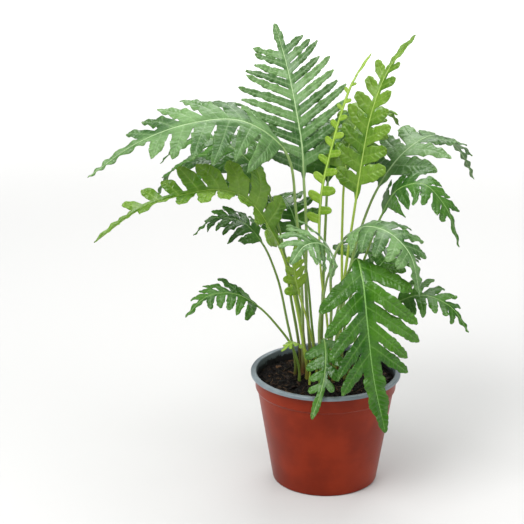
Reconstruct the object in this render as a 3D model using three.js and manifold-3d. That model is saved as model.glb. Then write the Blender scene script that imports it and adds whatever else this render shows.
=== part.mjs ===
// A fern with deeply lobed fronds, growing in peat in a round nursery pot.
// Millimetres. The origin is the centre of the pot's foot, +Z is up and -Y is the front.
import * as THREE from "three";
import { mergeVertices } from "three/addons/utils/BufferGeometryUtils.js";
import Module from "manifold-3d";

// ---------- pot ----------
const potHeight = 92;
const rimRadius = 60; // outside of the flange
const rimInner = 55.6; // inside of the flange, where the wall goes down
const flangeDrop = 2.6; // how far the edge of the flange turns down
const edgeRound = 0.9; // rounding of the flange's edges
const collarHeight = 14; // the upright band under the flange
const collarTaper = 0.6; // how much narrower the band is at its lower edge
const collarStep = 1.6; // how far the wall steps in under the band
const footRadius = 42;
const footRound = 1;
const wall = 1.2;
const drainRingInner = 27; // the raised ring of the floor that holds the drain holes
const drainRingOuter = 37;
const drainRise = 3;
const drainSlope = 1.6; // width of the slopes at the two edges of that ring
const drainHoles = 8;
const drainHoleRadius = 2.6;
const drainCorner = 0.6; // shift of that ring's inner corners, so that its wall keeps its thickness
const stepCorner = 0.5; // and of the corners of the step under the band
const potSides = 32;
const holeSides = 8;

// ---------- soil ----------
const soilTop = 84;
const soilGap = 0.55; // between the corners of the soil and the pot's wall
const crownRise = 3.5; // the peat is a little higher round the crown
const crownReach = 22;
const soilLumps = 1.1; // how far the lumps stand above and below the surface
const soilRings = 4;
const soilSides = 26;
const soilFloorGap = 0.3; // between the soil and the pot's floor
const soilStep = 0.8; // height above the band's lower edge where the soil is as wide as the band
const holeDepth = 13;
const holeClearance = 0.4;

// ---------- fronds ----------
const bladeThickness = 0.9;
const ribHalf = [0.85, 0.5]; // half the height of the midrib, at the blade's base and at its tip
const bladeBase = 1; // half width of the blade where it begins, on the stalk
const footGap = 0.8; // between the foot of the stalk and the bottom of its hole
const straightRise = 5; // the stalk is straight up to this height above the soil
const lobeGap = 1.1; // the cut between two lobes, at its inner end
const firstLobe = 0.05; // where the lobes begin, as a share of the blade's length
const alternate = [0.28, 0.72]; // where the lobes of the two sides stand, as shares of their spacing
const crowding = 0.92; // below 1, the lobes stand closer together towards the tip
const tipGap = 0.05; // from the last lobe to the lobe at the tip, as a share of the blade's length
const tipBelly = 0.36; // the most that a tip lobe's half width may be, as a share of its length
const tipSwell = 2.6; // how soon it reaches that width: at the length divided by this
const longTip = 30; // a tip lobe longer than this has a waved edge
const tipWave = 0.12; // how far that edge waves, as a share of the tip lobe's half width
const tipSteps = [0.12, 0.45, 0.78]; // shares of a tip lobe's length where its edge has points
const longTipSteps = [0.1, 0.3, 0.5, 0.7, 0.88];
const longestAt = 0.24; // where the lobes are longest
const firstShare = 0.7; // length of the first lobes, as a share of the longest
const shrink = 0.88; // how much of that length is lost from there to the tip
const broadest = 0.36; // half the width of a short lobe, as a share of its length
const sizeRange = [0.83, 1.07]; // lobes differ in length by these factors
const fanning = 0.3; // how much a lobe widens outwards, as a share of the room there
const strayMost = 8; // and in their lean by up to half this many degrees, slender lobes less
const strayShare = 20;
const liftRange = 22; // and in their fold by up to half this many degrees
const bendRange = 0.7; // and in how far they bend down by up to half this share
const cupping = 0.16; // how far a lobe's edges stand up, as a share of its half width
const cupMean = 0.35; // of the lobes, this share is cupped downwards
const sway = 0.055; // a lobe's line goes up and down by this share of its length
const swayTurn = 5.2; // in one wave that has this many radians
const stalkTaper = 0.72; // the stalk's thickness at the blade, as a share of that at the soil
const stalkSides = 6;
const stalkStep = 34; // length of a straight piece of the stalk
const crown = [-5, 4]; // the middle of the crown, seen from above

// One entry for each frond. root: where it leaves the soil. stalk, blade: points that the midrib goes
// through, and the blade begins at its first point. heading: the direction that the frond leans in, in
// degrees from +X, with its upper side turned up and back. roll: turn of the blade about its midrib, and
// lean: how far the lobes lean from it, both at the blade's base and at its tip. curl: how much they turn
// towards the tip, in radians. half: the longest lobe. wing: half width of the strip of blade along the
// midrib, where the lobes are joined, at the blade's base, near its tip, and of the lobe at the tip.
// pairs: lobes on each side. tip: where the lobe at the tip begins, as a share of the blade. fold: lift of
// the lobes out of the blade's plane, and droop: how much they bend down. round: 0 for pointed lobes, 1
// for blunt ones.
const fronds = [
  { name: "frond_centre_tall", root: [-12, 12], thick: 1.5, heading: 98, roll: [-4, -4], lean: [64, 60],
    stalk: [[-16, 16, 160], [-16, 21, 208]],
    blade: [[-18, 30, 242], [-19, 35, 263], [-24, 46, 294], [-32, 68, 328], [-41, 93, 354]],
    half: 54, wing: [2.4, 3.4, 4.6], pairs: 11, tip: 0.87,
    fold: 8, droop: 24, curl: 0.1, round: 0.65, seed: 1 },
  { name: "frond_left_high", root: [-18, 7], thick: 1.5, heading: 195, roll: [-28, -20], lean: [76, 40],
    stalk: [[-19, 10, 150], [-24, 13, 218]],
    blade: [[-34, 6, 272], [-66, -4, 297], [-107, -17, 298], [-143, -28, 287], [-182, -38, 262]],
    half: 42, wing: [7, 4.5, 5.6], pairs: 6, tip: 0.76,
    fold: 6, droop: 48, curl: 0.2, round: 0.15, seed: 2 },
  { name: "frond_left_flat", root: [-15, -3], thick: 1.4, heading: 195, roll: [-46, -12], lean: [84, 46],
    stalk: [[-19, -2, 120], [-27, -4, 162]],
    blade: [[-37, -6, 196], [-45, -8, 212], [-55, -10, 229], [-67, -14, 241], [-84, -19, 247],
      [-108, -27, 246], [-140, -35, 238], [-178, -45, 213]],
    half: 28, wing: [3, 2.8, 4.2], pairs: 8, tip: 0.84,
    fold: 36, droop: 22, curl: 0.25, round: 0.6, seed: 3 },
  { name: "frond_young_upright", root: [-7, 3], thick: 1.1, heading: 130, roll: [0, 0], lean: [80, 50],
    stalk: [[-11, -4, 118], [-16, -9, 140]],
    blade: [[-22, -12, 160], [-26, -14, 180], [-25, -14, 204]],
    half: 13, wing: [1.9, 1.6, 2.6], pairs: 4, tip: 0.8,
    fold: 10, droop: 24, curl: 0.25, round: 0.9, seed: 4 },
  { name: "frond_front_large", root: [6, -8], thick: 1.5, heading: -82, roll: [4, -6], lean: [60, 34],
    stalk: [[10, -12, 140], [16, -19, 181]],
    blade: [[22, -30, 195], [25, -44, 186], [29, -59, 152], [34, -69, 112], [43, -80, 72]],
    half: 44, wing: [6.5, 7.5, 10], pairs: 5, tip: 0.68,
    fold: 10, droop: 26, curl: 0.1, round: 0.55, seed: 5 },
  { name: "frond_right_arched", root: [3, 0], thick: 1.4, heading: -36, roll: [5, 12], lean: [90, 46],
    stalk: [[4, 2, 146], [4, 0, 180]],
    blade: [[12, -5, 202], [27, -12, 215], [43, -24, 216], [60, -38, 204], [69, -51, 172]],
    half: 32, wing: [5, 4, 5.4], pairs: 5, tip: 0.76,
    fold: 6, droop: 54, curl: 0.25, round: 0.8, seed: 6 },
  { name: "frond_front_left", root: [-4, -10], thick: 1.2, heading: 225, roll: [-30, -34], lean: [78, 46],
    stalk: [[-6, -13, 134], [-1, -22, 174]],
    blade: [[3, -33, 199], [-7, -44, 212], [-19, -56, 214], [-30, -67, 203]],
    half: 30, wing: [4.6, 3.6, 5], pairs: 5, tip: 0.76,
    fold: 4, droop: 34, curl: 0.25, round: 0.7, seed: 25 },
  { name: "frond_front_small", root: [-5, -18], thick: 1.2, heading: -95, roll: [-4, 8], lean: [74, 46],
    stalk: [[-4, -22, 112]],
    blade: [[-3, -31, 130], [-2, -42, 127], [-3, -56, 109], [-13, -73, 80]],
    half: 15, wing: [3, 2.6, 3.8], pairs: 4, tip: 0.72,
    fold: 6, droop: 24, curl: 0.25, round: 0.9, seed: 8 },
  { name: "frond_right_middle", root: [13, 8], thick: 1.3, heading: -13, roll: [24, 12], lean: [80, 44],
    stalk: [[18, 15, 140], [32, 22, 182]],
    blade: [[44, 24, 214], [57, 19, 237], [74, 12, 243], [91, 4, 228], [103, -4, 196]],
    half: 28, wing: [3.6, 3, 4.4], pairs: 6, tip: 0.78,
    fold: 4, droop: 36, curl: 0.25, round: 0.55, seed: 9 },
  { name: "frond_right_tall", root: [8, 5], thick: 1.4, heading: 30, roll: [40, 14], lean: [74, 46],
    stalk: [[11, 9, 130], [17, 14, 185]],
    blade: [[23, 19, 228], [28, 24, 262], [35, 30, 297], [50, 42, 331], [70, 57, 352]],
    half: 24, wing: [2.8, 2.4, 3.8], pairs: 7, tip: 0.82,
    fold: 16, droop: 22, curl: 0.25, round: 0.6, seed: 10 },
  { name: "frond_right_slender", root: [4, 11], thick: 1.1, heading: 40, roll: [20, 0], lean: [80, 62],
    stalk: [[1, 10, 130], [-4, 9, 168]],
    blade: [[-6, 9, 202], [-4, 9, 240], [3, 12, 272], [10, 18, 297], [19, 26, 320], [34, 38, 341]],
    half: 11, wing: [1.2, 1, 1.8], pairs: 8, tip: 0.88,
    fold: 10, droop: 20, curl: 0.25, round: 1, seed: 21 },
  { name: "frond_left_low", root: [-21, -6], thick: 1.2, heading: 200, roll: [-20, -8], lean: [80, 46],
    stalk: [[-26, -7, 112], [-39, -10, 133]],
    blade: [[-54, -15, 151], [-73, -22, 164], [-93, -31, 165], [-110, -40, 151]],
    half: 23, wing: [3.4, 2.6, 4], pairs: 5, tip: 0.78,
    fold: 4, droop: 30, curl: 0.25, round: 0.6, seed: 11 },
  { name: "frond_back_middle", root: [-3, 22], thick: 1.4, heading: 88, roll: [0, 6], lean: [80, 48],
    stalk: [[-2, 28, 140], [0, 42, 198]],
    blade: [[2, 56, 232], [6, 78, 262], [10, 104, 270], [12, 128, 256], [12, 146, 226]],
    half: 38, wing: [5, 4, 5.4], pairs: 5, tip: 0.78,
    fold: 6, droop: 34, curl: 0.25, round: 0.5, seed: 12 },
  { name: "frond_back_left", root: [-16, 20], thick: 1.4, heading: 142, roll: [0, -8], lean: [80, 46],
    stalk: [[-22, 27, 140], [-38, 42, 190]],
    blade: [[-53, 56, 220], [-76, 76, 242], [-102, 96, 244], [-126, 113, 226], [-142, 124, 196]],
    half: 36, wing: [5, 4, 5.2], pairs: 5, tip: 0.78,
    fold: 6, droop: 34, curl: 0.25, round: 0.35, seed: 24 },
  { name: "frond_back_right", root: [10, 19], thick: 1.4, heading: 42, roll: [0, 8], lean: [80, 48],
    stalk: [[15, 26, 140], [28, 40, 196]],
    blade: [[43, 53, 229], [66, 72, 254], [90, 93, 261], [112, 110, 246], [128, 120, 216]],
    half: 36, wing: [5, 4, 5.2], pairs: 5, tip: 0.78,
    fold: 6, droop: 34, curl: 0.25, round: 0.5, seed: 14 },
  { name: "frond_right_low", root: [15, -3], thick: 1.2, heading: -14, roll: [26, 12], lean: [80, 46],
    stalk: [[22, -4, 112], [38, -7, 136]],
    blade: [[54, -11, 152], [74, -17, 161], [95, -23, 154], [110, -28, 134]],
    half: 23, wing: [3.4, 2.6, 4], pairs: 5, tip: 0.78,
    fold: 4, droop: 30, curl: 0.25, round: 0.6, seed: 15 },
  { name: "frond_back_low", root: [4, 27], thick: 1.2, heading: 70, roll: [0, 6], lean: [80, 46],
    stalk: [[8, 36, 116], [16, 54, 142]],
    blade: [[24, 72, 160], [33, 93, 168], [40, 114, 160], [44, 130, 138]],
    half: 23, wing: [3.4, 2.6, 4], pairs: 4, tip: 0.78,
    fold: 4, droop: 30, curl: 0.25, round: 0.6, seed: 16 },
  { name: "frond_upper_left", root: [-20, 16], thick: 1.3, heading: 152, roll: [-14, -8], lean: [80, 46],
    stalk: [[-28, 25, 146], [-38, 36, 202]],
    blade: [[-50, 44, 236], [-70, 53, 258], [-93, 60, 267], [-116, 66, 261], [-134, 71, 243]],
    half: 27, wing: [3.6, 3, 4.4], pairs: 5, tip: 0.78,
    fold: 6, droop: 36, curl: 0.25, round: 0.5, seed: 18 },
  { name: "frond_upper_right", root: [12, 13], thick: 1.3, heading: 60, roll: [8, 12], lean: [80, 46],
    stalk: [[13, 20, 150], [13, 29, 206]],
    blade: [[15, 39, 244], [21, 53, 272], [33, 69, 288], [48, 85, 286], [62, 99, 268]],
    half: 26, wing: [3.6, 3, 4.4], pairs: 5, tip: 0.78,
    fold: 6, droop: 36, curl: 0.25, round: 0.6, seed: 19 },
  { name: "frond_inner_back", root: [-8, 25], thick: 1.2, heading: 108, roll: [0, -6], lean: [78, 46],
    stalk: [[-11, 32, 124], [-15, 42, 162]],
    blade: [[-21, 54, 188], [-29, 72, 207], [-38, 92, 210], [-46, 110, 194]],
    half: 29, wing: [3.6, 3, 4.6], pairs: 5, tip: 0.78,
    fold: 4, droop: 30, curl: 0.25, round: 0.6, seed: 20 },
  { name: "frond_inner_left", root: [-24, 6], thick: 1.2, heading: 170, roll: [-8, -8], lean: [80, 46],
    stalk: [[-31, 11, 130], [-40, 16, 168]],
    blade: [[-51, 20, 192], [-67, 24, 208], [-87, 26, 211], [-106, 27, 196]],
    half: 27, wing: [3.6, 3, 4.4], pairs: 5, tip: 0.78,
    fold: 4, droop: 32, curl: 0.25, round: 0.55, seed: 23 },
  { name: "frond_inner_right", root: [19, 10], thick: 1.2, heading: 38, roll: [8, 8], lean: [78, 46],
    stalk: [[24, 14, 110], [29, 19, 138]],
    blade: [[37, 26, 158], [49, 36, 173], [64, 48, 175], [78, 60, 162]],
    half: 23, wing: [3.4, 2.6, 4], pairs: 4, tip: 0.78,
    fold: 4, droop: 30, curl: 0.25, round: 0.6, seed: 22 },
  { name: "frond_young_low", root: [-13, -13], thick: 0.9, heading: 210, roll: [0, 0], lean: [70, 50],
    stalk: [[-14, -14, 108]],
    blade: [[-19, -16, 118], [-27, -20, 122], [-36, -25, 117]],
    half: 8, wing: [1.6, 1.4, 2], pairs: 3, tip: 0.78,
    fold: 4, droop: 20, curl: 0.25, round: 1, seed: 17 },
];

// A number from 0 to 1 that looks random and is the same at each run.
function chance(i, j) {
  const v = Math.sin(i * 12.9898 + j * 78.233) * 43758.5453;
  return v - Math.floor(v);
}

const mix = (a, b, t) => a + (b - a) * t;
const rad = (degrees) => (degrees * Math.PI) / 180;

// ---------- path of a frond ----------

// Points and directions of a frond at even steps, from the foot of its stalk in the soil to its tip.
function pathOf(frond) {
  const [x, y] = frond.root;
  const foot = [x, y, soilTop - holeDepth + footGap];
  const exit = [x, y, soilTop + straightRise];
  const knots = [foot, exit, ...frond.stalk, ...frond.blade].map((k) => new THREE.Vector3(...k));
  const count = knots.length;
  const chord = knots.slice(1).map((k, i) => k.distanceTo(knots[i]));
  // Slope at each knot, so that the curve is smooth; the part in the soil is straight and upright.
  const slope = knots.map((k, i) => {
    if (i <= 1) return new THREE.Vector3(0, 0, 1);
    const before = k.clone().sub(knots[i - 1]).divideScalar(chord[i - 1]);
    if (i === count - 1) return before;
    const after = knots[i + 1].clone().sub(k).divideScalar(chord[i]);
    const share = chord[i - 1] / (chord[i - 1] + chord[i]);
    return before.lerp(after, share);
  });
  const points = [];
  let bladeAt = 0;
  const steps = 60;
  for (let i = 0; i < count - 1; i++) {
    if (i === count - frond.blade.length) bladeAt = points.length;
    for (let k = 0; k < steps; k++) {
      const t = k / steps;
      const a = 2 * t ** 3 - 3 * t ** 2 + 1;
      const b = t ** 3 - 2 * t ** 2 + t;
      const c = -2 * t ** 3 + 3 * t ** 2;
      const d = t ** 3 - t ** 2;
      points.push(new THREE.Vector3()
        .addScaledVector(knots[i], a).addScaledVector(slope[i], b * chord[i])
        .addScaledVector(knots[i + 1], c).addScaledVector(slope[i + 1], d * chord[i]));
    }
  }
  points.push(knots[count - 1].clone());
  const length = [0];
  for (let i = 1; i < points.length; i++) length.push(length[i - 1] + points[i].distanceTo(points[i - 1]));
  const bladeStart = length[bladeAt];
  return { points, length, bladeStart, bladeLength: length[points.length - 1] - bladeStart };
}

// The frame of a frond at s mm from the start of its blade: centre, direction, side and upper normal.
// Past the tip it goes on straight.
function frameAt(frond, path, s) {
  const { points, length, bladeStart, bladeLength } = path;
  const inside = Math.min(Math.max(s + bladeStart, 0), bladeStart + bladeLength - 0.01);
  let i = 0;
  while (i < length.length - 2 && length[i + 1] <= inside) i++;
  const t = (inside - length[i]) / (length[i + 1] - length[i]);
  const centre = points[i].clone().lerp(points[i + 1], t);
  const low = Math.max(i - 1, 0);
  const high = Math.min(i + 2, points.length - 1);
  const along = points[high].clone().sub(points[low]).normalize();
  centre.addScaledVector(along, s + bladeStart - inside);
  const heading = rad(frond.heading);
  const across = new THREE.Vector3(-Math.sin(heading), Math.cos(heading), 0);
  across.addScaledVector(along, -across.dot(along)).normalize();
  const up = new THREE.Vector3().crossVectors(along, across);
  const [rollBase, rollTip] = frond.roll;
  const roll = rad(mix(rollBase, rollTip, Math.min(Math.max(s / bladeLength, 0), 1)));
  const side = across.clone().multiplyScalar(Math.cos(roll)).addScaledVector(up, Math.sin(roll));
  const normal = up.clone().multiplyScalar(Math.cos(roll)).addScaledVector(across, -Math.sin(roll));
  return { centre, side, normal };
}

// ---------- shape of a blade ----------

// Length of the lobes along the blade, as a share of the longest.
function lobeShare(u) {
  if (u < longestAt) return 1 - (1 - firstShare) * (1 - u / longestAt) ** 2;
  return 1 - shrink * ((u - longestAt) / (1 - longestAt)) ** 1.1;
}

// Half width of the blade's middle strip: it widens from the stalk to a wing beside the midrib, and ends in
// the lobe at the tip.
function stripHalf(frond, s, bladeLength) {
  const begin = firstLobe * bladeLength;
  const end = frond.tip * bladeLength;
  const [wingBase, wingTip, tipHalf] = frond.wing;
  if (s < begin) return mix(bladeBase, wingBase, s / begin);
  if (s < end) return mix(wingBase, wingTip, (s - begin) / (end - begin));
  const tipLength = bladeLength - end;
  const t = (s - end) / tipLength;
  const waves = tipLength > longTip ? tipWave * Math.cos(5 * Math.PI * (t - 0.1)) : 0;
  const width = mix(wingTip, Math.min(tipHalf, tipBelly * tipLength), Math.min(1, t * tipSwell));
  return width * mix((1 - t) ** 0.8, Math.sqrt(1 - t ** 1.7), frond.round) * (1 + waves);
}

// The lobes of one side. at: middle of the lobe's root on the midrib, and rootHalf: half the root's length.
// size: the lobe's length. angle: how far it leans from the midrib. width: its half width, and spread: how
// much it widens outwards, because the lobes fan out. lift: how far it stands out of the blade's plane.
function lobesOf(frond, bladeLength, side) {
  const [leanBase, leanTip] = frond.lean;
  const place = (k) => bladeLength * mix(firstLobe, frond.tip - tipGap, (k / frond.pairs) ** crowding);
  const lobes = [];
  for (let index = 0; index < frond.pairs; index++) {
    const at = place(index + alternate[side > 0 ? 0 : 1]);
    const pitch = place(index + 1) - place(index);
    const u = at / bladeLength;
    const most = Math.min(strayMost, (strayShare * pitch) / frond.half);
    const stray = most * (chance(frond.seed, index * 7 + side) - 0.5);
    const angle = rad(mix(leanBase, leanTip, u) + stray);
    const size = frond.half * lobeShare(u) * mix(...sizeRange, chance(frond.seed + 3, index * 5 + side));
    const rootHalf = Math.min((pitch - lobeGap) / 2, broadest * size);
    const width = Math.min((pitch * Math.sin(angle) - lobeGap) / 2, broadest * size);
    const spread = (fanning * size * rad(leanBase - leanTip)) / frond.pairs;
    const lift = chance(frond.seed + 5, index * 3 + side) - 0.5;
    lobes.push({ index, at, rootHalf, size, angle, width, spread, lift });
  }
  return lobes;
}

// Half width of a lobe at a share t of its length, between a pointed and a blunt outline.
function lobeHalf(frond, lobe, t) {
  const pointed = (1 - t) ** 0.75 * (1 + 0.55 * t);
  const blunt = Math.sqrt(Math.max(0, 1 - t ** 3.2)) * (0.92 + 0.16 * t);
  return (lobe.width + lobe.spread * t) * mix(pointed, blunt, frond.round);
}

// A point of a lobe at a share t of its length, e from -1 to 1 across it: along and across the flat blade,
// and how far it stands out of it. The lobe's line turns by curl, and its edges and length are waved.
function lobePoint(frond, path, lobe, t, e) {
  const { index, at, size, angle, lift } = lobe;
  const turn = 0.5 * frond.curl * t * t;
  const s = at + size * (t * Math.cos(angle) + turn * Math.sin(angle));
  const q = stripHalf(frond, at, path.bladeLength) + size * (t * Math.sin(angle) - turn * Math.cos(angle));
  const w = lobeHalf(frond, lobe, t) * e;
  const here = angle - frond.curl * t;
  const cup = cupping * Math.abs(w) * (chance(frond.seed + 9, index) - cupMean);
  const wave = sway * size * t * Math.sin(swayTurn * t + 2 * Math.PI * lift);
  return [s + w * Math.sin(here), q - w * Math.cos(here), cup + wave];
}

// Rows of a lobe between its root and its tip: share of its length, and how far its edges stand out there.
// over: the length, in mm, that a lobe must have for them.
const lobeRows = [
  { over: 40, rows: [[0.2, 0.9], [0.44, 1.08], [0.66, 0.92], [0.84, 1.12]] },
  { over: 19, rows: [[0.26, 0.92], [0.55, 1.08], [0.82, 0.98]] },
  { over: 10, rows: [[0.4, 0.98], [0.76, 1.02]] },
  { over: 0, rows: [[0.6, 1]] },
];
const rowsOf = (lobe) => lobeRows.find(({ over }) => lobe.size > over).rows;

// A point of the blade's middle surface in space. s and q lie in the flat blade, along and across the
// midrib. The blade is folded up along its midrib and bends down evenly from there.
function bladePoint(frond, path, lobe, side, [s, q, rise]) {
  const frame = frameAt(frond, path, s);
  const lift = lobe ? lobe.lift : 0;
  const bend = (rad(frond.droop) / frond.half) * (1 + bendRange * lift);
  const fold = rad(frond.fold + liftRange * lift);
  const turn = bend * q - fold;
  const out = (Math.sin(turn) + Math.sin(fold)) / bend;
  const up = rise + (Math.cos(turn) - Math.cos(fold)) / bend;
  return frame.centre.addScaledVector(frame.side, side * out).addScaledVector(frame.normal, up);
}

// The closed surface of one frond: a tapered stalk that goes over into the blade.
function frondGeometry(frond) {
  const path = pathOf(frond);
  const length = path.bladeLength;
  const middle = []; // points of the middle surface
  const half = []; // half the thickness at each
  const faces = []; // triangles of the middle surface
  const add = (lobe, side, place, thick = bladeThickness / 2) => {
    middle.push(bladePoint(frond, path, lobe, side, place));
    half.push(thick);
    return middle.length - 1;
  };

  // The two edges of the middle strip, with three points at the root of each lobe.
  const edges = [1, -1].map((side) => {
    const chain = [];
    const put = (s, lobe) => {
      chain.push({ s, at: add(lobe, side, [s, stripHalf(frond, s, length), 0]) });
      return chain[chain.length - 1].at;
    };
    put(0, null);
    for (const lobe of lobesOf(frond, length, side)) {
      const leaf = [];
      const roots = [-1, 0, 1].map((e) => put(lobe.at + e * lobe.rootHalf, lobe));
      let row = roots;
      for (const [t, stand] of rowsOf(lobe)) {
        const next = [-1, 0, 1].map((e) => add(lobe, side, lobePoint(frond, path, lobe, t, e * stand)));
        for (const k of [0, 1]) {
          leaf.push([row[k], next[k], next[k + 1]], [row[k], next[k + 1], row[k + 1]]);
        }
        row = next;
      }
      const tip = add(lobe, side, lobePoint(frond, path, lobe, 1, 0));
      leaf.push([row[0], tip, row[1]], [row[1], tip, row[2]]);
      faces.push(...(side > 0 ? turned(leaf) : leaf));
    }
    const steps = (1 - frond.tip) * length > longTip ? longTipSteps : tipSteps;
    for (const t of steps) put(mix(frond.tip, 1, t) * length, null);
    return chain;
  });

  // The midrib, and the strips on both sides of it.
  const rib = [];
  const ribSteps = Math.max(8, frond.pairs * 2);
  for (let i = 0; i < ribSteps; i++) {
    const s = (i / ribSteps) * length;
    rib.push({ s, at: add(null, 1, [s, 0, 0], mix(...ribHalf, i / ribSteps)) });
  }
  const tip = { s: length, at: add(null, 1, [length, 0, 0]) };
  rib.push(tip);
  faces.push(...strip(rib, [...edges[0], tip]), ...turned(strip(rib, [...edges[1], tip])));
  return closed(frond, path, middle, half, faces, [edges[0][0].at, rib[0].at, edges[1][0].at]);
}

const turned = (triangles) => triangles.map(([a, b, c]) => [a, c, b]);

// Triangles between two rows of points that both run along the midrib.
function strip(left, right) {
  const out = [];
  let i = 0;
  let j = 0;
  while (i < left.length - 1 || j < right.length - 1) {
    const goLeft = j === right.length - 1 || (i < left.length - 1 && left[i + 1].s <= right[j + 1].s);
    const corner = goLeft ? left[i + 1] : right[j + 1];
    if (corner.at !== (goLeft ? right[j].at : left[i].at)) out.push([left[i].at, corner.at, right[j].at]);
    if (goLeft) i++;
    else j++;
  }
  return out;
}

// Gives the middle surface its thickness, closes its edge, and joins the stalk to the three points of its
// lower end.
function closed(frond, path, middle, half, faces, lower) {
  const normals = middle.map(() => new THREE.Vector3());
  for (const [a, b, c] of faces) {
    const ab = middle[b].clone().sub(middle[a]);
    const normal = ab.cross(middle[c].clone().sub(middle[a]));
    for (const k of [a, b, c]) normals[k].add(normal);
  }
  for (const normal of normals) normal.normalize();
  const under = middle.length; // the number of a point on the upper side plus this is that below it
  const points = [1, -1].flatMap((sign) =>
    middle.map((point, i) => point.clone().addScaledVector(normals[i], sign * half[i])));

  const solid = [];
  const edges = new Map(); // the directed edges of the upper side
  for (const [a, b, c] of faces) {
    solid.push([a, b, c], [a + under, c + under, b + under]);
    for (const [p, q] of [[a, b], [b, c], [c, a]]) edges.set(p + " " + q, [p, q]);
  }
  edges.delete(lower[0] + " " + lower[1]);
  edges.delete(lower[1] + " " + lower[2]);
  for (const [p, q] of edges.values()) {
    if (!edges.has(q + " " + p)) solid.push([p, p + under, q], [q, p + under, q + under]);
  }

  const rings = stalkRings(frond, path, points);
  rings.push([...lower, ...lower.map((k) => k + under).reverse()]);
  for (let i = 0; i < rings.length - 1; i++) {
    for (let k = 0; k < stalkSides; k++) {
      const m = (k + 1) % stalkSides;
      solid.push([rings[i][k], rings[i][m], rings[i + 1][k]]);
      solid.push([rings[i][m], rings[i + 1][m], rings[i + 1][k]]);
    }
  }
  for (let k = 1; k < stalkSides - 1; k++) solid.push([rings[0][0], rings[0][k + 1], rings[0][k]]);
  return geometryFrom(points, solid);
}

// Adds the stalk's points, in rings of six from the side round over the top, and gives their numbers.
function stalkRings(frond, path, points) {
  const start = path.bladeStart;
  const straight = holeDepth - footGap + straightRise;
  const bends = Math.max(3, Math.round(start / stalkStep));
  const places = [0];
  for (let i = 0; i < bends; i++) places.push(mix(straight, start, i / bends));
  return places.map((place) => {
    const { centre, side, normal } = frameAt(frond, path, place - start);
    const radius = frond.thick * mix(1, stalkTaper, place / start);
    const ring = [];
    for (let k = 0; k < stalkSides; k++) {
      const a = rad(30 + (360 * k) / stalkSides);
      const point = centre.clone().addScaledVector(side, radius * Math.cos(a));
      ring.push(points.push(point.addScaledVector(normal, radius * Math.sin(a))) - 1);
    }
    return ring;
  });
}

function geometryFrom(points, triangles) {
  const geometry = new THREE.BufferGeometry();
  geometry.setFromPoints(points);
  geometry.setIndex(triangles.flat());
  geometry.computeVertexNormals();
  return geometry;
}

// ---------- booleans ----------
const wasm = await Module();
wasm.setup();

function solidOf(geometry) {
  const bare = geometry.clone();
  bare.deleteAttribute("normal");
  bare.deleteAttribute("uv");
  const merged = mergeVertices(bare, 1e-3);
  return new wasm.Manifold(new wasm.Mesh({
    numProp: 3,
    vertProperties: merged.attributes.position.array,
    triVerts: new Uint32Array(merged.index.array),
  }));
}

function geometryOf(solid) {
  const mesh = solid.getMesh();
  const geometry = new THREE.BufferGeometry();
  geometry.setAttribute("position", new THREE.BufferAttribute(mesh.vertProperties, 3));
  geometry.setIndex(new THREE.BufferAttribute(mesh.triVerts, 1));
  geometry.computeVertexNormals();
  return geometry;
}

// A round pin along Z, from z = low to z = high, to cut a hole with.
function pin(x, y, radius, low, high) {
  const shape = new THREE.CylinderGeometry(radius, radius, high - low, holeSides);
  shape.rotateX(Math.PI / 2);
  shape.translate(x, y, (low + high) / 2);
  return solidOf(shape);
}

// ---------- pot ----------
const collarFoot = potHeight - collarHeight;
const collarInner = rimInner - collarTaper; // inside radius of the band at its lower edge
const bodyTop = collarInner + wall - collarStep; // outside radius of the wall just under the band

// Inside radius of the pot at a height.
function insideAt(z) {
  if (z > collarFoot) return mix(collarInner, rimInner, (z - collarFoot) / collarHeight);
  return mix(footRadius, bodyTop, z / collarFoot) - wall;
}

function potGeometry() {
  const flangeUnder = potHeight - flangeDrop;
  const outside = [
    [0, 0], [drainRingInner, 0], [drainRingInner + drainSlope, drainRise],
    [drainRingOuter - drainSlope, drainRise], [drainRingOuter, 0],
    [footRadius - footRound, 0], [footRadius, footRound],
    [bodyTop, collarFoot - collarStep], [collarInner + wall, collarFoot], [rimInner + wall, flangeUnder],
    [rimRadius - edgeRound, flangeUnder], [rimRadius, flangeUnder + edgeRound],
    [rimRadius, potHeight - edgeRound], [rimRadius - edgeRound, potHeight],
  ];
  const inside = [
    [rimInner + edgeRound, potHeight], [rimInner, potHeight - edgeRound],
    [collarInner, collarFoot + stepCorner], [bodyTop - wall, collarFoot - collarStep - stepCorner],
    [footRadius - wall, wall + footRound], [footRadius - wall - footRound, wall],
    [drainRingOuter + drainCorner, wall], [drainRingOuter - drainSlope + drainCorner, drainRise + wall],
    [drainRingInner + drainSlope - drainCorner, drainRise + wall], [drainRingInner - drainCorner, wall],
    [0, wall],
  ];
  const profile = [...outside, ...inside].map(([r, z]) => new THREE.Vector2(r, z));
  const lathe = new THREE.LatheGeometry(profile, potSides);
  lathe.rotateX(Math.PI / 2); // the lathe's axis becomes +Z
  let pot = solidOf(lathe);
  const ringRadius = (drainRingInner + drainRingOuter) / 2;
  for (let i = 0; i < drainHoles; i++) {
    const a = (2 * Math.PI * (i + 0.5)) / drainHoles;
    const [x, y] = [ringRadius * Math.cos(a), ringRadius * Math.sin(a)];
    const hole = pin(x, y, drainHoleRadius, -1, 2 * drainRise);
    pot = pot.subtract(hole);
  }
  return geometryOf(pot);
}

// ---------- soil ----------

// Height of the surface: a low mound at the crown, with small lumps.
function soilHeight(x, y, ring, step) {
  const away = Math.hypot(x - crown[0], y - crown[1]);
  const mound = crownRise * Math.exp(-((away / crownReach) ** 2)) - 1;
  return soilTop + mound + soilLumps * (2 * chance(ring, step) - 1);
}

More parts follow.
